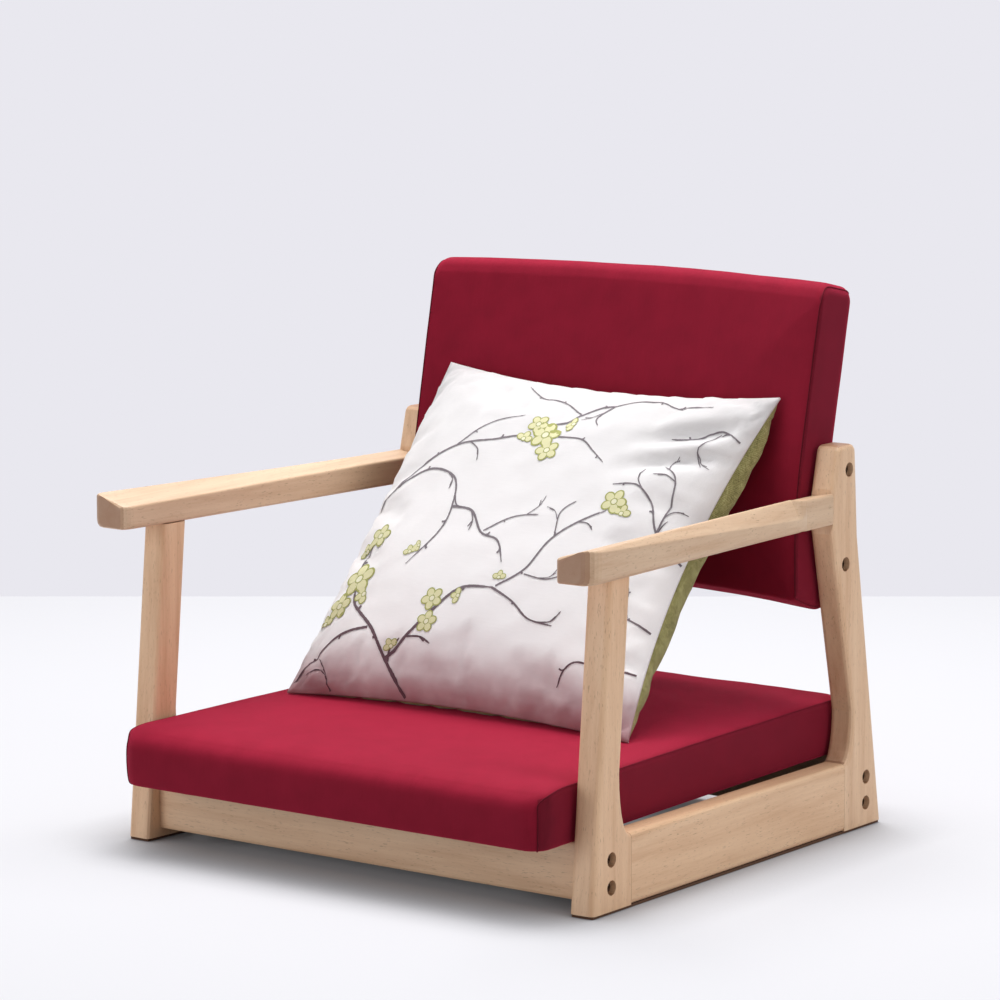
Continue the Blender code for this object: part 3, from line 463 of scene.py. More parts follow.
def seat_point(x, y, height):
    # The pad's top comes down toward its front edge
    ahead = max(seat_front + nose_length - y, 0.0) / nose_length
    drop = nose_drop * ahead ** 2 * min(height / seat_wall, 1.0)
    under = blend(seat_under_front, seat_under_rear, (y - seat_front) / (seat_rear - seat_front))
    return Vector((x, y + shift, under + height - drop))


def seat_outline(inset):
    return pad_outline(seat_half_width, seat_front + inset, seat_rear - inset, seat_corner, inset, seat_pull)


def seat_ring(height, inset, front_height=None, front_inset=None):
    # A ring of the seat pad. At the front it may follow a rounder section.
    if front_inset is None:
        return [seat_point(x, y, height) for x, y in seat_outline(inset)]
    ring = []
    for (x, y), (x2, y2) in zip(seat_outline(inset), seat_outline(front_inset)):
        share = min(max((seat_front + front_from - y) / front_blend, 0.0), 1.0)     # 1 along the front edge
        ring.append(seat_point(blend(x, x2, share), blend(y, y2, share), blend(height, front_height, share)))
    return ring


def crown_height(share):
    return seat_wall + crown * (1 - (1 - share) ** 2) + skin


seat_outer = [  # (height, inset, height at the front, inset there)
    (0.0, 0.0045, 0.0, 0.0045), (0.0012, 0.0026, 0.0012, 0.0026), (0.004, 0.0014, 0.004, 0.0014),
    (0.012, 0.0006, 0.012, 0.0004), (0.024, 0.0, 0.024, 0.0), (0.036, 0.0001, 0.036, 0.0),
    (0.046, 0.0005, 0.0450, 0.0006), (0.0515, 0.0008, 0.0495, 0.0018), (0.0541, 0.0016, 0.0527, 0.0036),
    (0.0552, 0.0028, 0.0550, 0.0062), (0.0562, 0.0046, 0.0563, 0.0092), (0.0569, 0.0075, 0.0568, 0.0125),
    (crown_height(0.075), crown_reach * 0.075, crown_height(0.085), crown_reach * 0.09),
]
seat_outer += [(crown_height(s), crown_reach * s, crown_height(s), crown_reach * s)
               for s in (0.14, 0.22, 0.32, 0.45, 0.60, 0.78, 1.0)]
seat_cavity = [  # (height, inset) from the middle of the foam's underside to the hem's inner edge
    (0.0136, 0.060), (0.0136, 0.045), (0.0136, 0.0040), (0.0122, 0.0028), (0.0040, 0.0030), (0.0016, 0.0055),
    (0.0014, 0.020), (0.0, 0.020),
]
seat_fine = curve_through(seat_outer, 2)
middle = (seat_front + seat_rear) / 2
seat_pad = lofted("seat_pad", [seat_ring(*level) for level in seat_cavity + seat_fine],
                  [seat_point(0.0, middle, seat_cavity[0][0]), seat_point(0.0, middle, crown_height(1.0))])
seat_first = len(seat_cavity)


def displaced(obj, first, move):
    # Moves the outer faces' points along their normals
    normals = [v.normal.copy() for v in obj.data.vertices]
    for i, vertex in enumerate(obj.data.vertices):
        if i >= first:
            vertex.co += move(vertex.co.copy(), normals[i])


def seat_wrinkles(point, normal):
    # Soft unevenness of the foam, pulled cloth near the front's bottom edge
    rough = noise.noise(point * 14.0) * 0.0007 + noise.noise(point * 45.0) * 0.00022
    low = max(1 - (point.z - seat_under_front) / 0.016, 0.0)
    ahead = 1.0 if normal.y < -0.5 else 0.0
    tug = low * ahead * (noise.noise(Vector((point.x * 26.0, 3.0, 0.0))) * 0.0012)
    return normal * rough * min(1.0, max((point.z - 0.068) / 0.01, 0.0)) + Vector((0.0, 0.0, tug))


displaced(seat_pad, seat_first * ring_size, seat_wrinkles)


def outer_point(pad, first, levels, place, level):
    # A point of a pad's outer face at a place in the ring and a level, which both may be fractions
    i, row = math.floor(place), math.floor(level)

    def at(a, b):
        return pad.data.vertices[(first + min(b, levels - 1)) * ring_size + a % ring_size].co
    across, up = place - i, level - row
    return at(i, row).lerp(at(i + 1, row), across).lerp(at(i, row + 1).lerp(at(i + 1, row + 1), across), up)


def side_seams(stem, pad, first, levels, radius, low_run, high_run):
    # A seam's ridge along each side of a pad. A run has (places past the corner, level) pairs, from the
    # pad's edge to the straight part.
    for side, low, high, way in (("right", corners[1], corners[2], 1), ("left", corners[0], corners[3], -1)):
        span = (high - low) * way % ring_size
        (start, seam_level), end = low_run[-1], span - high_run[-1][0]
        path = [(low + way * past, level) for past, level in low_run]
        path += [(low + way * blend(start, end, k / 10), seam_level) for k in range(1, 10)]
        path += [(low + way * span - way * past, level) for past, level in reversed(high_run)]
        line = [outer_point(pad, first, levels, *pair) for pair in curve_through(path, 6)]
        inner = [(line[i - 1] + line[i] * 2 + line[i + 1]) / 4 for i in range(1, len(line) - 1)]
        ridge = tube(f"{stem}_seam_{side}", [line[0]] + inner + [line[-1]], radius)
        # The ridge is painted dark as the shade in the seam's groove
        paint(ridge, crimson_seam_shade)
        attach(ridge, "chair")


def paint_shaded_sides(obj, first, low, high):
    # The side panels, between the seams, get a darker copy of the cloth: painted shade
    for polygon in obj.data.polygons:
        rows = [v // ring_size - first for v in polygon.vertices]
        places = [v % ring_size for v in polygon.vertices]
        on_side = all(corners[1] <= p <= corners[2] for p in places) or all(
            p <= corners[0] or p >= corners[3] for p in places)
        if on_side and low <= min(rows) and max(rows) <= high:
            polygon.material_index = 1


seat_run = [(0, level) for level in (0.0, 4.0, 8.0, 11.0, 13.5)]
seat_run += [(1.0, 15.2), (3.0, 16.4), (6.0, 17.0), (9.0, 17.0)]
side_seams("seat", seat_pad, seat_first, len(seat_fine), 0.0009, seat_run, seat_run)

paint(seat_pad, crimson, crimson_side_shade)
paint_shaded_sides(seat_pad, seat_first, 2, 17)
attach(seat_pad, "chair")
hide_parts("seat_cover", "seat_foam")

# ---- back pad
back_bottom, back_top = 0.222, 0.546
back_middle_y = foot_rear - 0.0905
bend_low, bend_length, slope_share = 0.285, 0.090, 0.205     # above bend_low the back leans away
back_reach = slope_share * (0.392 - bend_low)
front_depth, rear_depth = 0.0275, 0.026
back_half = inner_half_width(back_middle_y + rear_depth + back_reach) - 0.0008
back_corner, back_pull, back_bow = 0.012, 0.0010, 0.023
top_lift, bottom_lift, bottom_roll = 0.003, 0.005, 0.016


def back_centre(z):
    rise = z - bend_low
    if rise <= 0:
        return back_middle_y
    if rise <= bend_length:
        return back_middle_y + slope_share * rise ** 2 / (2 * bend_length)
    return back_middle_y + slope_share * (rise - bend_length / 2)


def back_point(x, z, depth):
    slope = slope_share * min(max((z - bend_low) / bend_length, 0.0), 1.0)
    length = math.hypot(1.0, slope)
    arch = 1 - (x / back_half) ** 2
    share = (z - back_bottom) / (back_top - back_bottom)
    lift = top_lift * share ** 2 + bottom_lift * (1 - share) ** 2
    y = back_centre(z) + back_bow * arch + depth / length + shift
    return Vector((x, y, z - depth * slope / length + lift * arch))


def back_span(depth, inset, top_inset):
    ahead = min(max(rear_depth - depth, 0.0) / (rear_depth + front_depth), 1.0)
    return back_bottom + bottom_roll * ahead ** 1.6 + inset, back_top - top_inset


def back_ring(depth, inset, top_inset):
    low, high = back_span(depth, inset, top_inset)
    outline = pad_outline(lambda z: back_half, low, high, back_corner, inset, back_pull)
    return [back_point(x, z, depth) for x, z in outline]


def back_loft(name, levels):
    hubs = [back_point(0.0, sum(back_span(*level)) / 2, level[0]) for level in (levels[0], levels[-1])]
    return lofted(name, [back_ring(*level) for level in levels], hubs)


rear_round, front_round = 0.009, 0.016
back_outer = []     # (depth, inset, inset at the top)
for k in range(5):
    turn = math.pi / 2 * k / 4
    back_outer.append((0.017 + rear_round * math.cos(turn), 0.003 * (1 - math.sin(turn)),
                       rear_round * (1 - math.sin(turn))))
back_outer += [(0.010, 0.0, 0.0), (0.0, 0.0, 0.0), (-0.006, 0.0, 0.0)]
for k in range(6):    # round the top's front edge; the sides stay flat up to their seam
    turn = math.pi / 2 * k / 6
    back_outer.append((-0.0115 - front_round * math.sin(turn), 0.0004 * k / 5 + 0.0006 * (k == 5),
                       front_round * (1 - math.cos(turn))))
back_outer += [(-0.0282, 0.0030, 0.0158), (-0.0287, 0.0060, 0.0186)]
for share in (0.08, 0.13, 0.20, 0.30, 0.42, 0.58, 0.78, 1.0):
    depth = -front_depth - 0.006 * (1 - (1 - share) ** 2) - skin
    back_outer.append((depth, 0.150 * share, blend(0.016, 0.150, share)))
back_cavity = [
    (0.0020, 0.150, 0.150), (0.0020, 0.090, 0.090), (0.0020, 0.042, 0.042), (0.0020, 0.0040, 0.0040),
    (0.0030, 0.0022, 0.0022), (0.017, 0.0022, 0.0022), (0.0220, 0.0032, 0.0042), (0.0245, 0.0056, 0.0092),
    (0.0246, 0.020, 0.026), (0.026, 0.020, 0.026),
]
back_fine = curve_through(back_outer, 2)
back_pad = back_loft("back_pad", back_cavity + back_fine)
back_first = len(back_cavity)


def back_wrinkles(point, normal):
    rough = noise.noise(point * 12.0 + Vector((5.0, 0.0, 0.0))) * 0.0008 + noise.noise(point * 40.0) * 0.00022
    return normal * rough


displaced(back_pad, back_first * ring_size, back_wrinkles)

low_run = [(0, level) for level in (8.0, 12.0, 16.0, 20.0, 23.5)]
low_run += [(1.0, 25.6), (3.0, 27.0), (5.0, 27.5), (8.0, 27.5)]
high_run = [(0, level) for level in (4.0, 8.0, 12.0, 16.0, 20.0)]
high_run += [(1.2, 24.0), (3.0, 26.6), (5.0, 27.5), (9.0, 27.5)]
side_seams("back", back_pad, back_first, len(back_fine), 0.0008, low_run, high_run)

paint(back_pad, crimson_back, crimson_side_shade)
paint_shaded_sides(back_pad, back_first, 6, 27)
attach(back_pad, "chair")
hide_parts("back_cover", "back_foam")

# ---- rear panel, with a sewn edge
hem_drop = 0.006
levels = [(0.0261, i, i + hem_drop) for i in (0.150, 0.110, 0.075, 0.050, 0.034, 0.027)]
levels += [(0.0263, 0.0229, 0.0289), (0.0260, 0.0209, 0.0269), (0.0252, 0.0204, 0.0264)]
levels += [(0.0247, i, i + hem_drop) for i in (0.0207, 0.027, 0.034, 0.050, 0.075, 0.110, 0.150)]
rear_cloth = back_loft("back_rear_cloth", levels)
paint(rear_cloth, crimson_rear)
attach(rear_cloth, "chair")
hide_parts("back_rear_panel")

# ---- dust cloth under the seat: the CAD sheet with its screw holes, worked finer and made a little uneven
lining = bpy.data.objects.new("seat_dust_cloth", nodes["seat_lining"].data.copy())
scene.collection.objects.link(lining)
bm = bmesh.new()
bm.from_mesh(lining.data)
bmesh.ops.remove_doubles(bm, verts=bm.verts[:], dist=0.00001)
longest_edge = 0.02
long_edges = [e for e in bm.edges if e.calc_length() > longest_edge]
bmesh.ops.subdivide_edges(bm, edges=long_edges, cuts=4, use_grid_fill=False)
bmesh.ops.triangulate(bm, faces=bm.faces[:])
for v in bm.verts:
    v.co.z += noise.noise(v.co * 20.0) * 0.00010
bm.to_mesh(lining.data)
bm.free()
lining.data.shade_smooth()
paint(lining, lining_cloth)
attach(lining, "chair")
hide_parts("seat_lining")

# ---------------------------------------------------------------- pillow
bottom_width, top_width = 0.422, 0.414
pull_left, pull_right, pull_bottom, pull_top = 0.026, 0.112, 0.052, 0.080
seam_half, front_swell, back_swell, front_flange = 0.0013, 0.046, 0.056, 0.012
spill_from, spill_right, spill_left = 0.72, 0.135, 0.05


def pillow_plane(u, v):
    across = u * (1 - blend(pull_left, pull_right, (u + 1) / 2) * (1 - v * v))
    along = v * (1 - blend(pull_bottom, pull_top, (v + 1) / 2) * (1 - u * u))
    share = (along + 1) / 2
    half = blend(bottom_width, top_width, share) / 2
    x = blend(-0.008, 0.002, share) + across * half
    twist = -0.008 * across * share / 2
    return Vector((x, 0.0, 0.0)) + up_axis * (share * pillow_side + twist) + pillow_place


def pillow_swell(u, v, flange):
    reach = 1 - flange
    a = max(1 - (abs(u) / reach) ** 2.4, 0.0)
    b = max(1 - (abs(v) / reach) ** 2.4, 0.0)
    return (a * b) ** 0.5


def pillow_front(u, v):
    return pillow_plane(u, v) + front_axis * (seam_half + front_swell * pillow_swell(u, v, front_flange))


def pillow_back(u, v):
    # The back cloth bulges past the seam at the sides
    past = max(min(abs(u), 1.0) - spill_from, 0.0)
    height = (3 + min(v, 1.0)) / 4
    spill = 4 * past * (1 - spill_from - past) / (1 - spill_from) ** 2 * (1 - min(v * v, 1.0) ** 4) * height
    across = u + math.copysign((spill_right if u > 0 else spill_left) * spill, u)
    return pillow_plane(across, v) - front_axis * (seam_half + back_swell * pillow_swell(u, v, 0.0))


cells = 52
size = cells + 1
front_count = size * size
even = [2 * k / cells - 1 for k in range(size)]
stations = [math.sin(math.pi / 2 * t) * 0.55 + t * 0.45 for t in even]     # closer together at the seams
verts = [pillow_front(u, v) for v in stations for u in stations]
verts += [pillow_back(u, v) for v in stations for u in stations]
quads = [(a, a + 1, a + size + 1, a + size) for j in range(cells) for a in range(j * size, j * size + cells)]
faces = []
for quad in quads:
    faces += [quad, tuple(quad[k] + front_count for k in (0, 3, 2, 1))]
rim = list(range(cells)) + [j * size + cells for j in range(cells)]
rim += [cells * size + i for i in range(cells, 0, -1)] + [j * size for j in range(cells, 0, -1)]
for a, b in zip(rim, rim[1:] + rim[:1]):
    faces.append((a, a + front_count, b + front_count, b))
shell = mesh_object("pillow_shell", verts, faces)

sim_frames, longest_step, spread = 20, 0.009, 4
window = 2 * spread + 1
# The filling presses on cloth that is a little larger than its seam allows, which puckers it
pinned = shell.vertex_groups.new(name="seam")
pinned.add(rim + [i + front_count for i in rim], 1.0, "REPLACE")
sim = shell.modifiers.new("cloth", "CLOTH")
settings = sim.settings
settings.quality = 6
settings.mass = 0.3
settings.vertex_group_mass = "seam"
settings.use_pressure = True
settings.uniform_pressure_force = 4.0
settings.shrink_min = -0.025
settings.tension_stiffness = 15
settings.compression_stiffness = 8
settings.bending_stiffness = 0.15
settings.effector_weights.gravity = 0.0
sim.collision_settings.use_self_collision = False
sim.collision_settings.use_collision = False
sim.point_cache.frame_end = sim_frames
for number in range(1, sim_frames + 1):
    scene.frame_set(number)
settled = shell.evaluated_get(bpy.context.evaluated_depsgraph_get())
moved = [v.co.copy() for v in settled.data.vertices]
shell.modifiers.remove(sim)
scene.frame_set(1)
steps = np.array([target - vertex.co for vertex, target in zip(shell.data.vertices, moved)])
lengths = np.linalg.norm(steps, axis=1, keepdims=True)
steps *= np.minimum(1.0, longest_step / np.maximum(lengths, 1e-9))
share = np.array([[(1 - abs(u)) / max((1 - abs(u)) + (1 - abs(v)), 1e-6) for u in stations]
                  for v in stations])[:, :, None]
for first, kept in ((0, 1.1), (front_count, 0.6)):
    # Only the puckers that run in from the seams are kept; the broad form stays that of the filled shape
    grid = steps[first:first + front_count].reshape(size, size, 3)
    puckers = []
    for axis in (0, 1):
        broad = grid.copy()
        for _ in range(3):
            padded = np.pad(broad, [(spread, spread) if a == axis else (0, 0) for a in range(3)],
                            mode="edge")
            broad = sum(np.take(padded, range(k, k + size), axis=axis) for k in range(window)) / window
        puckers.append(grid - broad)
    grid = (puckers[0] * (1 - share) + puckers[1] * share) * kept
    for index, step in enumerate(grid.reshape(-1, 3)):
        shell.data.vertices[first + index].co += Vector(step)

# Creases that run in from the top right corner, and small pulls along the seams
creases = [  # (u, v) start, (u, v) end, width, depth
    ((0.50, 0.60), (0.97, 0.78), 0.075, 0.0120), ((0.46, 0.42), (0.95, 0.60), 0.065, 0.0095),
    ((-0.70, 0.78), (-0.95, 0.97), 0.060, 0.0025), ((-0.80, -0.55), (-0.97, -0.93), 0.080, 0.0030),
    ((0.35, -0.78), (0.86, -0.93), 0.060, 0.0030), ((-0.35, -0.83), (0.10, -0.90), 0.050, 0.0022),
    ((0.70, -0.60), (0.97, -0.92), 0.070, 0.0030),
]
for index in range(front_count):
    u, v = stations[index % size], stations[index // size]
    inside = min(1 - abs(u), 1 - abs(v))
    pull = 0.0
    for (u1, v1), (u2, v2), width, depth in creases:
        du, dv = u2 - u1, v2 - v1
        t = min(max(((u - u1) * du + (v - v1) * dv) / (du * du + dv * dv), 0.0), 1.0)
        away = math.hypot(u - u1 - t * du, v - v1 - t * dv)
        pull += depth * math.exp(-(away / width) ** 2 * 2) * math.sin(math.pi * min(max(t, 0.08), 0.92))
    ripple = noise.noise(Vector((u * 9.0, v * 9.0, 2.0))) * 0.0010
    edge = noise.noise(Vector((u * 22.0, v * 22.0, 7.0))) * 0.0016 * math.exp(-((inside - 0.11) / 0.07) ** 2)
    shell.data.vertices[index].co += front_axis * ((ripple + edge) * min(inside / 0.08, 1.0) - pull)

# The pillow stays clear of the seat and the back
seat_tree, back_tree = tree_of(seat_pad), tree_of(back_pad)
clearance = 0.0004
seat_top = 0.11     # a hit below this is on the pad's rim
for vertex in shell.data.vertices:
    hit = seat_tree.ray_cast(vertex.co + Vector((0.0, 0.0, 0.05)), Vector((0.0, 0.0, -1.0)))[0]
    if hit is not None and vertex.co.z < hit.z + clearance and hit.z > seat_top:
        vertex.co.z = hit.z + clearance
    hit = back_tree.ray_cast(vertex.co + Vector((0.0, -0.08, 0.0)), Vector((0.0, 1.0, 0.0)))[0]
    if hit is not None and vertex.co.y > hit.y - clearance:
        vertex.co.y = hit.y - clearance
shell_points = [v.co.copy() for v in shell.data.vertices]
bpy.data.objects.remove(shell, do_unlink=True)

# The front cloth turns over the seam as far as the back cloth
verts = shell_points[:front_count] + [shell_points[i + front_count] for i in rim]
faces = [face for a, b, c, d in quads for face in ((a, b, c), (a, c, d))]
for k in range(len(rim)):
    n = (k + 1) % len(rim)
    faces.append((rim[k], front_count + k, front_count + n, rim[n]))
front_cloth = mesh_object("pillow_front_cloth", verts, faces, outward=False)
back_cloth = mesh_object("pillow_back_cloth", shell_points[front_count:],
                         [(d, c, b, a) for a, b, c, d in quads], outward=False)
for obj in (front_cloth, back_cloth):
    thick = obj.modifiers.new("thickness", "SOLIDIFY")
    thick.thickness = 0.0007
    thick.offset = -1.0
    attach(obj, "pillow")
paint(front_cloth, cotton_front)
paint(back_cloth, olive)
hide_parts("pillow_front_panel")
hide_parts("pillow_back_panel", "pillow_insert")

front_tree = tree_of(front_cloth)
ray_height = 0.15


def on_cloth(u, v, lift):
    # The point of the pillow's front over (u, v), lifted off the cloth
    place, normal, _, _ = front_tree.ray_cast(pillow_plane(u, v) + front_axis * ray_height, -front_axis)
    if place is None:
        return None
    return place + (normal if normal.dot(front_axis) > 0 else -normal) * lift


# ---- printed twigs and blossoms: a traditional flowering-branch pattern
rng = random.Random(7)
branches = [  # points (u, v), width in mm at start and end
    ([(-0.99, 0.02), (-0.80, 0.26), (-0.58, 0.44), (-0.34, 0.50), (-0.14, 0.56)], 1.7, 1.3),
    ([(-0.08, 0.62), (0.06, 0.74), (0.20, 0.84), (0.40, 0.90), (0.56, 0.86), (0.74, 0.89)], 1.5, 0.9),
    ([(0.02, 0.56), (0.16, 0.57), (0.28, 0.50), (0.36, 0.44)], 1.2, 0.8),
    ([(-0.86, 0.17), (-0.66, 0.28), (-0.48, 0.22), (-0.40, 0.06), (-0.42, -0.12), (-0.54, -0.32)], 1.9, 0.9),
    ([(-0.41, 0.05), (-0.26, 0.03), (-0.14, -0.08), (-0.02, -0.12), (0.06, -0.24)], 1.8, 1.2),
    ([(-0.14, -0.08), (0.00, 0.02), (0.15, 0.05)], 1.1, 0.9),
    ([(-0.30, -0.99), (-0.44, -0.84), (-0.58, -0.68), (-0.74, -0.56), (-0.80, -0.48)], 2.6, 2.0),
    ([(-0.80, -0.46), (-0.84, -0.28), (-0.80, -0.12)], 1.7, 1.0),
    ([(-0.60, -0.68), (-0.78, -0.72), (-0.90, -0.86), (-0.99, -0.97)], 2.0, 1.4),
    ([(-0.44, -0.84), (-0.34, -0.70), (-0.26, -0.58), (-0.12, -0.44), (0.06, -0.40)], 2.6, 1.7),
    ([(0.06, -0.40), (0.20, -0.46), (0.34, -0.54), (0.50, -0.55)], 1.6, 1.0),
    ([(0.08, -0.39), (0.22, -0.26), (0.28, -0.08), (0.40, 0.04), (0.52, 0.14)], 1.5, 1.2),
    ([(0.22, -0.30), (0.36, -0.30), (0.46, -0.27)], 1.0, 0.8),
    ([(0.30, -0.06), (0.28, 0.08), (0.32, 0.17)], 1.0, 0.8),
    ([(0.99, -0.02), (0.84, 0.08), (0.76, 0.22), (0.62, 0.31), (0.50, 0.31)], 1.6, 1.0),
    ([(0.84, 0.08), (0.85, 0.26), (0.80, 0.40), (0.70, 0.48)], 1.4, 0.9),
    ([(0.97, 0.70), (0.86, 0.74), (0.74, 0.68), (0.62, 0.66)], 1.4, 1.1),
    ([(0.86, 0.73), (0.82, 0.60), (0.88, 0.50)], 1.1, 0.8),
    ([(0.98, -0.42), (0.84, -0.40), (0.74, -0.44)], 1.5, 1.0),
    ([(0.86, -0.40), (0.84, -0.26), (0.80, -0.19)], 1.2, 0.8),
    ([(0.98, -0.66), (0.82, -0.70), (0.66, -0.72), (0.58, -0.84)], 1.5, 1.2),
    ([(0.20, 0.84), (0.16, 0.72), (0.20, 0.66)], 1.1, 0.9),
    ([(0.06, 0.74), (-0.08, 0.82), (-0.24, 0.84), (-0.36, 0.90)], 1.1, 0.8),
    ([(-0.58, 0.44), (-0.44, 0.60), (-0.26, 0.68)], 1.0, 0.7),
    ([(-0.74, -0.99), (-0.78, -0.90), (-0.86, -0.84)], 1.3, 1.0),
]
blossoms = [  # (u, v), radius in mm, turn, open
    (-0.06, 0.56, 11.5, 0.3, True), (-0.14, 0.63, 8.0, 1.1, True), (0.00, 0.46, 9.0, 0.8, True),
    (0.06, 0.66, 7.0, 2.0, False), (-0.18, 0.52, 7.0, 0.1, False),
    (-0.80, -0.40, 12.5, 0.5, True), (-0.86, -0.55, 9.5, 1.6, True), (-0.80, -0.14, 9.0, 0.2, True),
    (-0.86, -0.22, 7.0, 1.0, False), (-0.92, -0.64, 6.5, 0.6, False), (-0.72, -0.49, 7.5, 2.4, False),
    (-0.27, -0.50, 8.5, 0.9, True), (-0.25, -0.63, 8.0, 0.3, True), (-0.12, -0.47, 6.0, 1.9, False),
    (0.08, -0.34, 5.5, 0.4, False), (0.55, 0.20, 9.5, 1.3, True), (0.62, 0.14, 7.0, 0.2, False),
    (-0.54, -0.24, 5.5, 0.7, False), (-0.50, -0.20, 4.5, 2.2, False), (-0.42, -0.77, 5.5, 1.1, False),
]
print_scale = 1.5     # strokes and blossoms are drawn this much larger than their lists say
stroke_lift, shoot_lift = 0.00048, 0.00050
stroke_steps, stroke_unevenness = 18, 0.28
edge_lift, petal_lift, heart_lift = 0.00054, 0.00062, 0.00070
twig_verts, twig_faces = [], []


def laid_down(point, lift):
    # The cloth's nearest point, lifted off it
    place, normal, _, _ = front_tree.find_nearest(point)
    return place + (normal if normal.dot(front_axis) > 0 else -normal) * lift


def ribbon(points, width_start, width_end, lift):
    # A flat stroke on the cloth, its edges a little uneven
    laid = [(on_cloth(u, v, lift), (u, v)) for u, v in curve_through(points, stroke_steps)]
    laid = [(p, uv) for p, uv in laid if p is not None]
    last = len(laid) - 1
    if last < 2:
        return
    for i, (_, (u, v)) in enumerate(laid):
        t = i / last
        ahead = (laid[min(i + 1, last)][0] - laid[max(i - 1, 0)][0]).normalized()
        width = print_scale * blend(width_start, width_end, t) / 1000
        width *= 1 + stroke_unevenness * noise.noise(Vector((u * 60, v * 60, 1.0)))
        if t > 0.93:
            width *= 0.65
        here = laid[i][0]
        across = ahead.cross(front_axis).normalized() * width / 2
        start = len(twig_verts)
        twig_verts.extend(laid_down(point, lift) for point in (here - across, here + across))
        if i:
            twig_faces.append((start - 2, start - 1, start + 1, start))


def shoots(points, width):
    # Side shoots and small buds on alternate sides of a branch
    line = curve_through(points, 9)
    side = rng.choice((-1, 1))
    place = rng.randint(5, 9)
    while place < len(line) - 4:
        (u, v), (u2, v2) = line[place], line[place + 1]
        heading = math.atan2(v2 - v, u2 - u) + side * rng.uniform(0.6, 1.1)
        long_one = rng.random() < 0.30
        reach = rng.uniform(0.10, 0.17) if long_one else rng.uniform(0.015, 0.035)
        tip = (u + math.cos(heading) * reach, v + math.sin(heading) * reach)
        bend = heading - side * rng.uniform(0.2, 0.5)
        middle = (u + math.cos(bend) * reach * 0.55, v + math.sin(bend) * reach * 0.55)
        if max(abs(tip[0]), abs(tip[1])) < 0.97:
            ribbon([(u, v), middle, tip], width * 0.62, width * (0.45 if long_one else 0.9), shoot_lift)
            if long_one:
                turn = bend + side * rng.uniform(0.5, 0.9)
                twiglet = (middle[0] + math.cos(turn) * 0.04, middle[1] + math.sin(turn) * 0.04)
                ribbon([middle, ((middle[0] + twiglet[0]) / 2, (middle[1] + twiglet[1]) / 2), twiglet],
                       width * 0.5, width * 0.6, shoot_lift)
        side = -side
        place += rng.randint(7, 13)


for points, start, end in branches:
    kinked = [(u + rng.uniform(-0.012, 0.012), v + rng.uniform(-0.012, 0.012)) for u, v in points]
    kinked[0] = points[0]
    ribbon(kinked, start, end, stroke_lift)
    shoots(kinked, start)
twigs = mesh_object("pillow_print_twigs", twig_verts, twig_faces, outward=False)
paint(twigs, cotton("twig_print", (128, 120, 126), (98, 72, 80), (0.10, 0.42)))
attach(twigs, "pillow")

petal_green = cotton("petal_print", (226, 223, 178), (210, 204, 158), (0.0, 0.3), mottled=0.10)
petal_edge = cotton("petal_edge_print", (168, 171, 100), (158, 158, 92), (0.0, 0.3), mottled=0.15)
heart_cream = cotton("heart_print", (236, 234, 206), (232, 226, 196), (0.0, 0.3))
flower_verts, flower_faces, flower_kinds = [], [], []
unit_u, unit_v = 1 / 0.209, 1 / 0.1995     # (u, v) per metre


def spot(centre, radii, turn, kind, lift, points=14):
    # An oval patch of print about a point of the cloth. Its kind is the number of its material.
    outline = []
    for k in range(points):
        angle = 2 * math.pi * k / points
        du, dv = math.cos(angle) * radii[0], math.sin(angle) * radii[1]
        a = centre[0] + (du * math.cos(turn) - dv * math.sin(turn)) * unit_u
        b = centre[1] + (du * math.sin(turn) + dv * math.cos(turn)) * unit_v
        outline.append(on_cloth(a, b, lift))
    middle = on_cloth(*centre, lift)
    if middle is None or any(p is None for p in outline):
        return
    start = len(flower_verts)
    flower_verts.append(middle)
    flower_verts.extend(outline)
    for k in range(points):
        flower_faces.append((start, start + 1 + k, start + 1 + (k + 1) % points))
        flower_kinds.append(kind)


def aside(u, v, angle, reach):
    return u + math.cos(angle) * reach * unit_u, v + math.sin(angle) * reach * unit_v


for u, v, radius, turn, opened in blossoms:
    radius *= print_scale / 1000
    for k in range(5 if opened else 3):
        angle = turn + 2 * math.pi * k / 5
        centre = aside(u, v, angle, radius * 0.58)
        size_a, size_b = radius * 0.50, radius * 0.42
        spot(centre, (size_a, size_b), angle, 1, edge_lift + 0.00001 * k)
        spot(centre, (size_a * 0.76, size_b * 0.74), angle, 0, petal_lift + 0.00001 * k)
    spot((u, v), (radius * 0.30, radius * 0.30), 0.0, 1, heart_lift)
    spot((u, v), (radius * 0.22, radius * 0.22), 0.0, 2, 0.00076)
    if opened:
        for k in range(7):
            angle = turn + 0.4 + 2 * math.pi * k / 7
            centre = aside(u, v, angle, radius * rng.uniform(0.30, 0.42))
            spot(centre, (0.0005, 0.0005), 0.0, 2, 0.00078, 6)
flowers = mesh_object("pillow_print_blossoms", flower_verts, flower_faces, outward=False)
paint(flowers, petal_green, petal_edge, heart_cream)
for polygon, kind in zip(flowers.data.polygons, flower_kinds):
    polygon.material_index = kind
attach(flowers, "pillow")


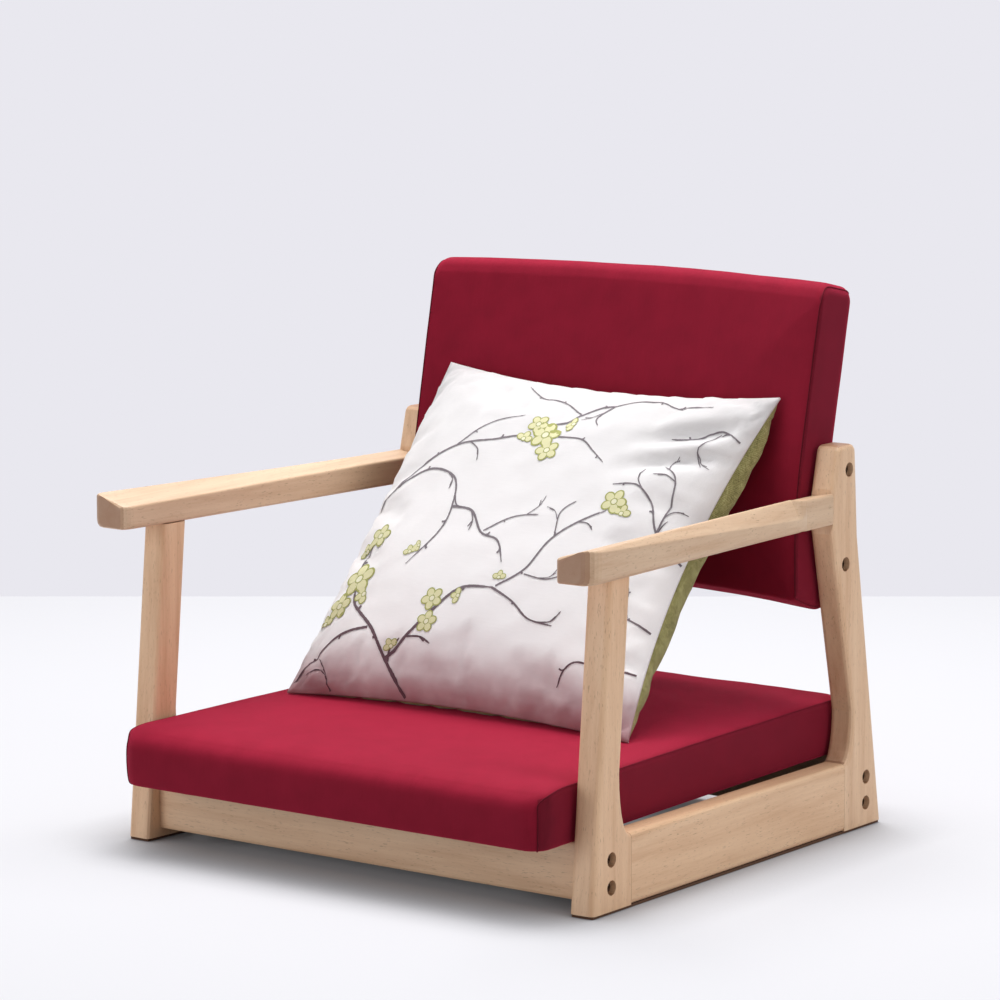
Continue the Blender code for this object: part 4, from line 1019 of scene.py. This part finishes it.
# ---------------------------------------------------------------- stage, light and camera
def stage_material(name, colour, shown, glow, strength):
    # A pale surface: it reflects one colour onto the object, and shows the camera a paler one with its
    # shadows, part of it as its own white that is dimmed where the object stands close, as a painted shadow
    p = Paint(name, roughness=0.9, specular_ior_level=0.1, emission_color=srgb(*glow))
    path = p.node("LightPath")
    p.colour(p.mix(path.outputs["Is Camera Ray"], srgb(*colour), srgb(*shown)))
    seen = p.math("MAXIMUM", path.outputs["Is Camera Ray"], path.outputs["Is Glossy Ray"])
    seen = p.math("MAXIMUM", seen, path.outputs["Is Transmission Ray"])
    # Occlusion dims the floor's own white near the object: a painted contact shadow
    unshadowed_glow_share = p.node("AmbientOcclusion", {"Distance": 0.10}, samples=8).outputs["AO"]
    lit = p.math("MULTIPLY", p.math("POWER", unshadowed_glow_share, 1.8), strength)
    p.tree.links.new(p.math("MULTIPLY", seen, lit), p.shader.inputs["Emission Strength"])
    return p.material


forward = Vector((-0.59684, 0.78910, -0.14526)).normalized()
flat = Vector((forward.x, forward.y, 0.0)).normalized()
right = Vector((flat.y, -flat.x, 0.0))
camera_place = Vector((2.6366, -3.5089 + shift, 0.9792))
floor_reach = 5.8       # from the camera to the floor's far edge
floor_half, floor_depth, floor_height = 6, 12, -0.0002
far = Vector((camera_place.x, camera_place.y, floor_height)) + flat * floor_reach
far_left, far_right = far - right * floor_half, far + right * floor_half
floor_corners = [far_left, far_right, far_right - flat * floor_depth, far_left - flat * floor_depth]
floor = mesh_object("floor", floor_corners, [(0, 1, 2, 3)], smooth=False)
paint(floor, stage_material("studio_floor", (184, 183, 186), (158, 158, 161), (249, 249, 254), 0.53))

world = bpy.data.worlds.new("studio")
scene.world = world
world.use_nodes = True
tree = world.node_tree
soft = tree.nodes["Background"]
soft.inputs["Color"].default_value = (0.96, 0.97, 1.0, 1.0)
soft.inputs["Strength"].default_value = 0.31
seen = tree.nodes.new("ShaderNodeBackground")
seen.inputs["Color"].default_value = srgb(233, 232, 239)
seen.inputs["Strength"].default_value = 1.0
path = tree.nodes.new("ShaderNodeLightPath")
either = path.outputs["Is Camera Ray"]
for name in ("Is Glossy Ray", "Is Transmission Ray"):
    larger = tree.nodes.new("ShaderNodeMath")
    larger.operation = "MAXIMUM"
    tree.links.new(either, larger.inputs[0])
    tree.links.new(path.outputs[name], larger.inputs[1])
    either = larger.outputs[0]
chosen = tree.nodes.new("ShaderNodeMixShader")
for index, socket in enumerate((either, soft.outputs[0], seen.outputs[0])):
    tree.links.new(socket, chosen.inputs[index])
tree.links.new(chosen.outputs[0], tree.nodes["World Output"].inputs["Surface"])


def lamp(name, place, target, size, energy):
    data = bpy.data.lights.new(name, "AREA")
    data.shape = "SQUARE"
    data.size = size
    data.energy = energy
    data.color = (1.0, 0.99, 0.98)
    obj = bpy.data.objects.new(name, data)
    obj.location = place
    obj.rotation_euler = (Vector(target) - Vector(place)).to_track_quat("-Z", "Y").to_euler()
    scene.collection.objects.link(obj)


lamp("overhead", (-0.35, 0.55, 2.6), (0.0, 0.0, 0.2), 1.8, 80.0)
lamp("right_side", (3.0, 0.1, 1.1), (0.0, 0.0, 0.2), 1.6, 25.0)
lamp("left_front", (-1.5, -3.0, 0.7), (0.0, 0.0, 0.1), 1.6, 25.0)

camera_data = bpy.data.cameras.new("camera")
camera_data.sensor_width = 36.0
camera_data.lens = 161.32
camera = bpy.data.objects.new("camera", camera_data)
camera.location = camera_place
camera.rotation_euler = forward.to_track_quat("-Z", "Y").to_euler()
scene.collection.objects.link(camera)
scene.camera = camera
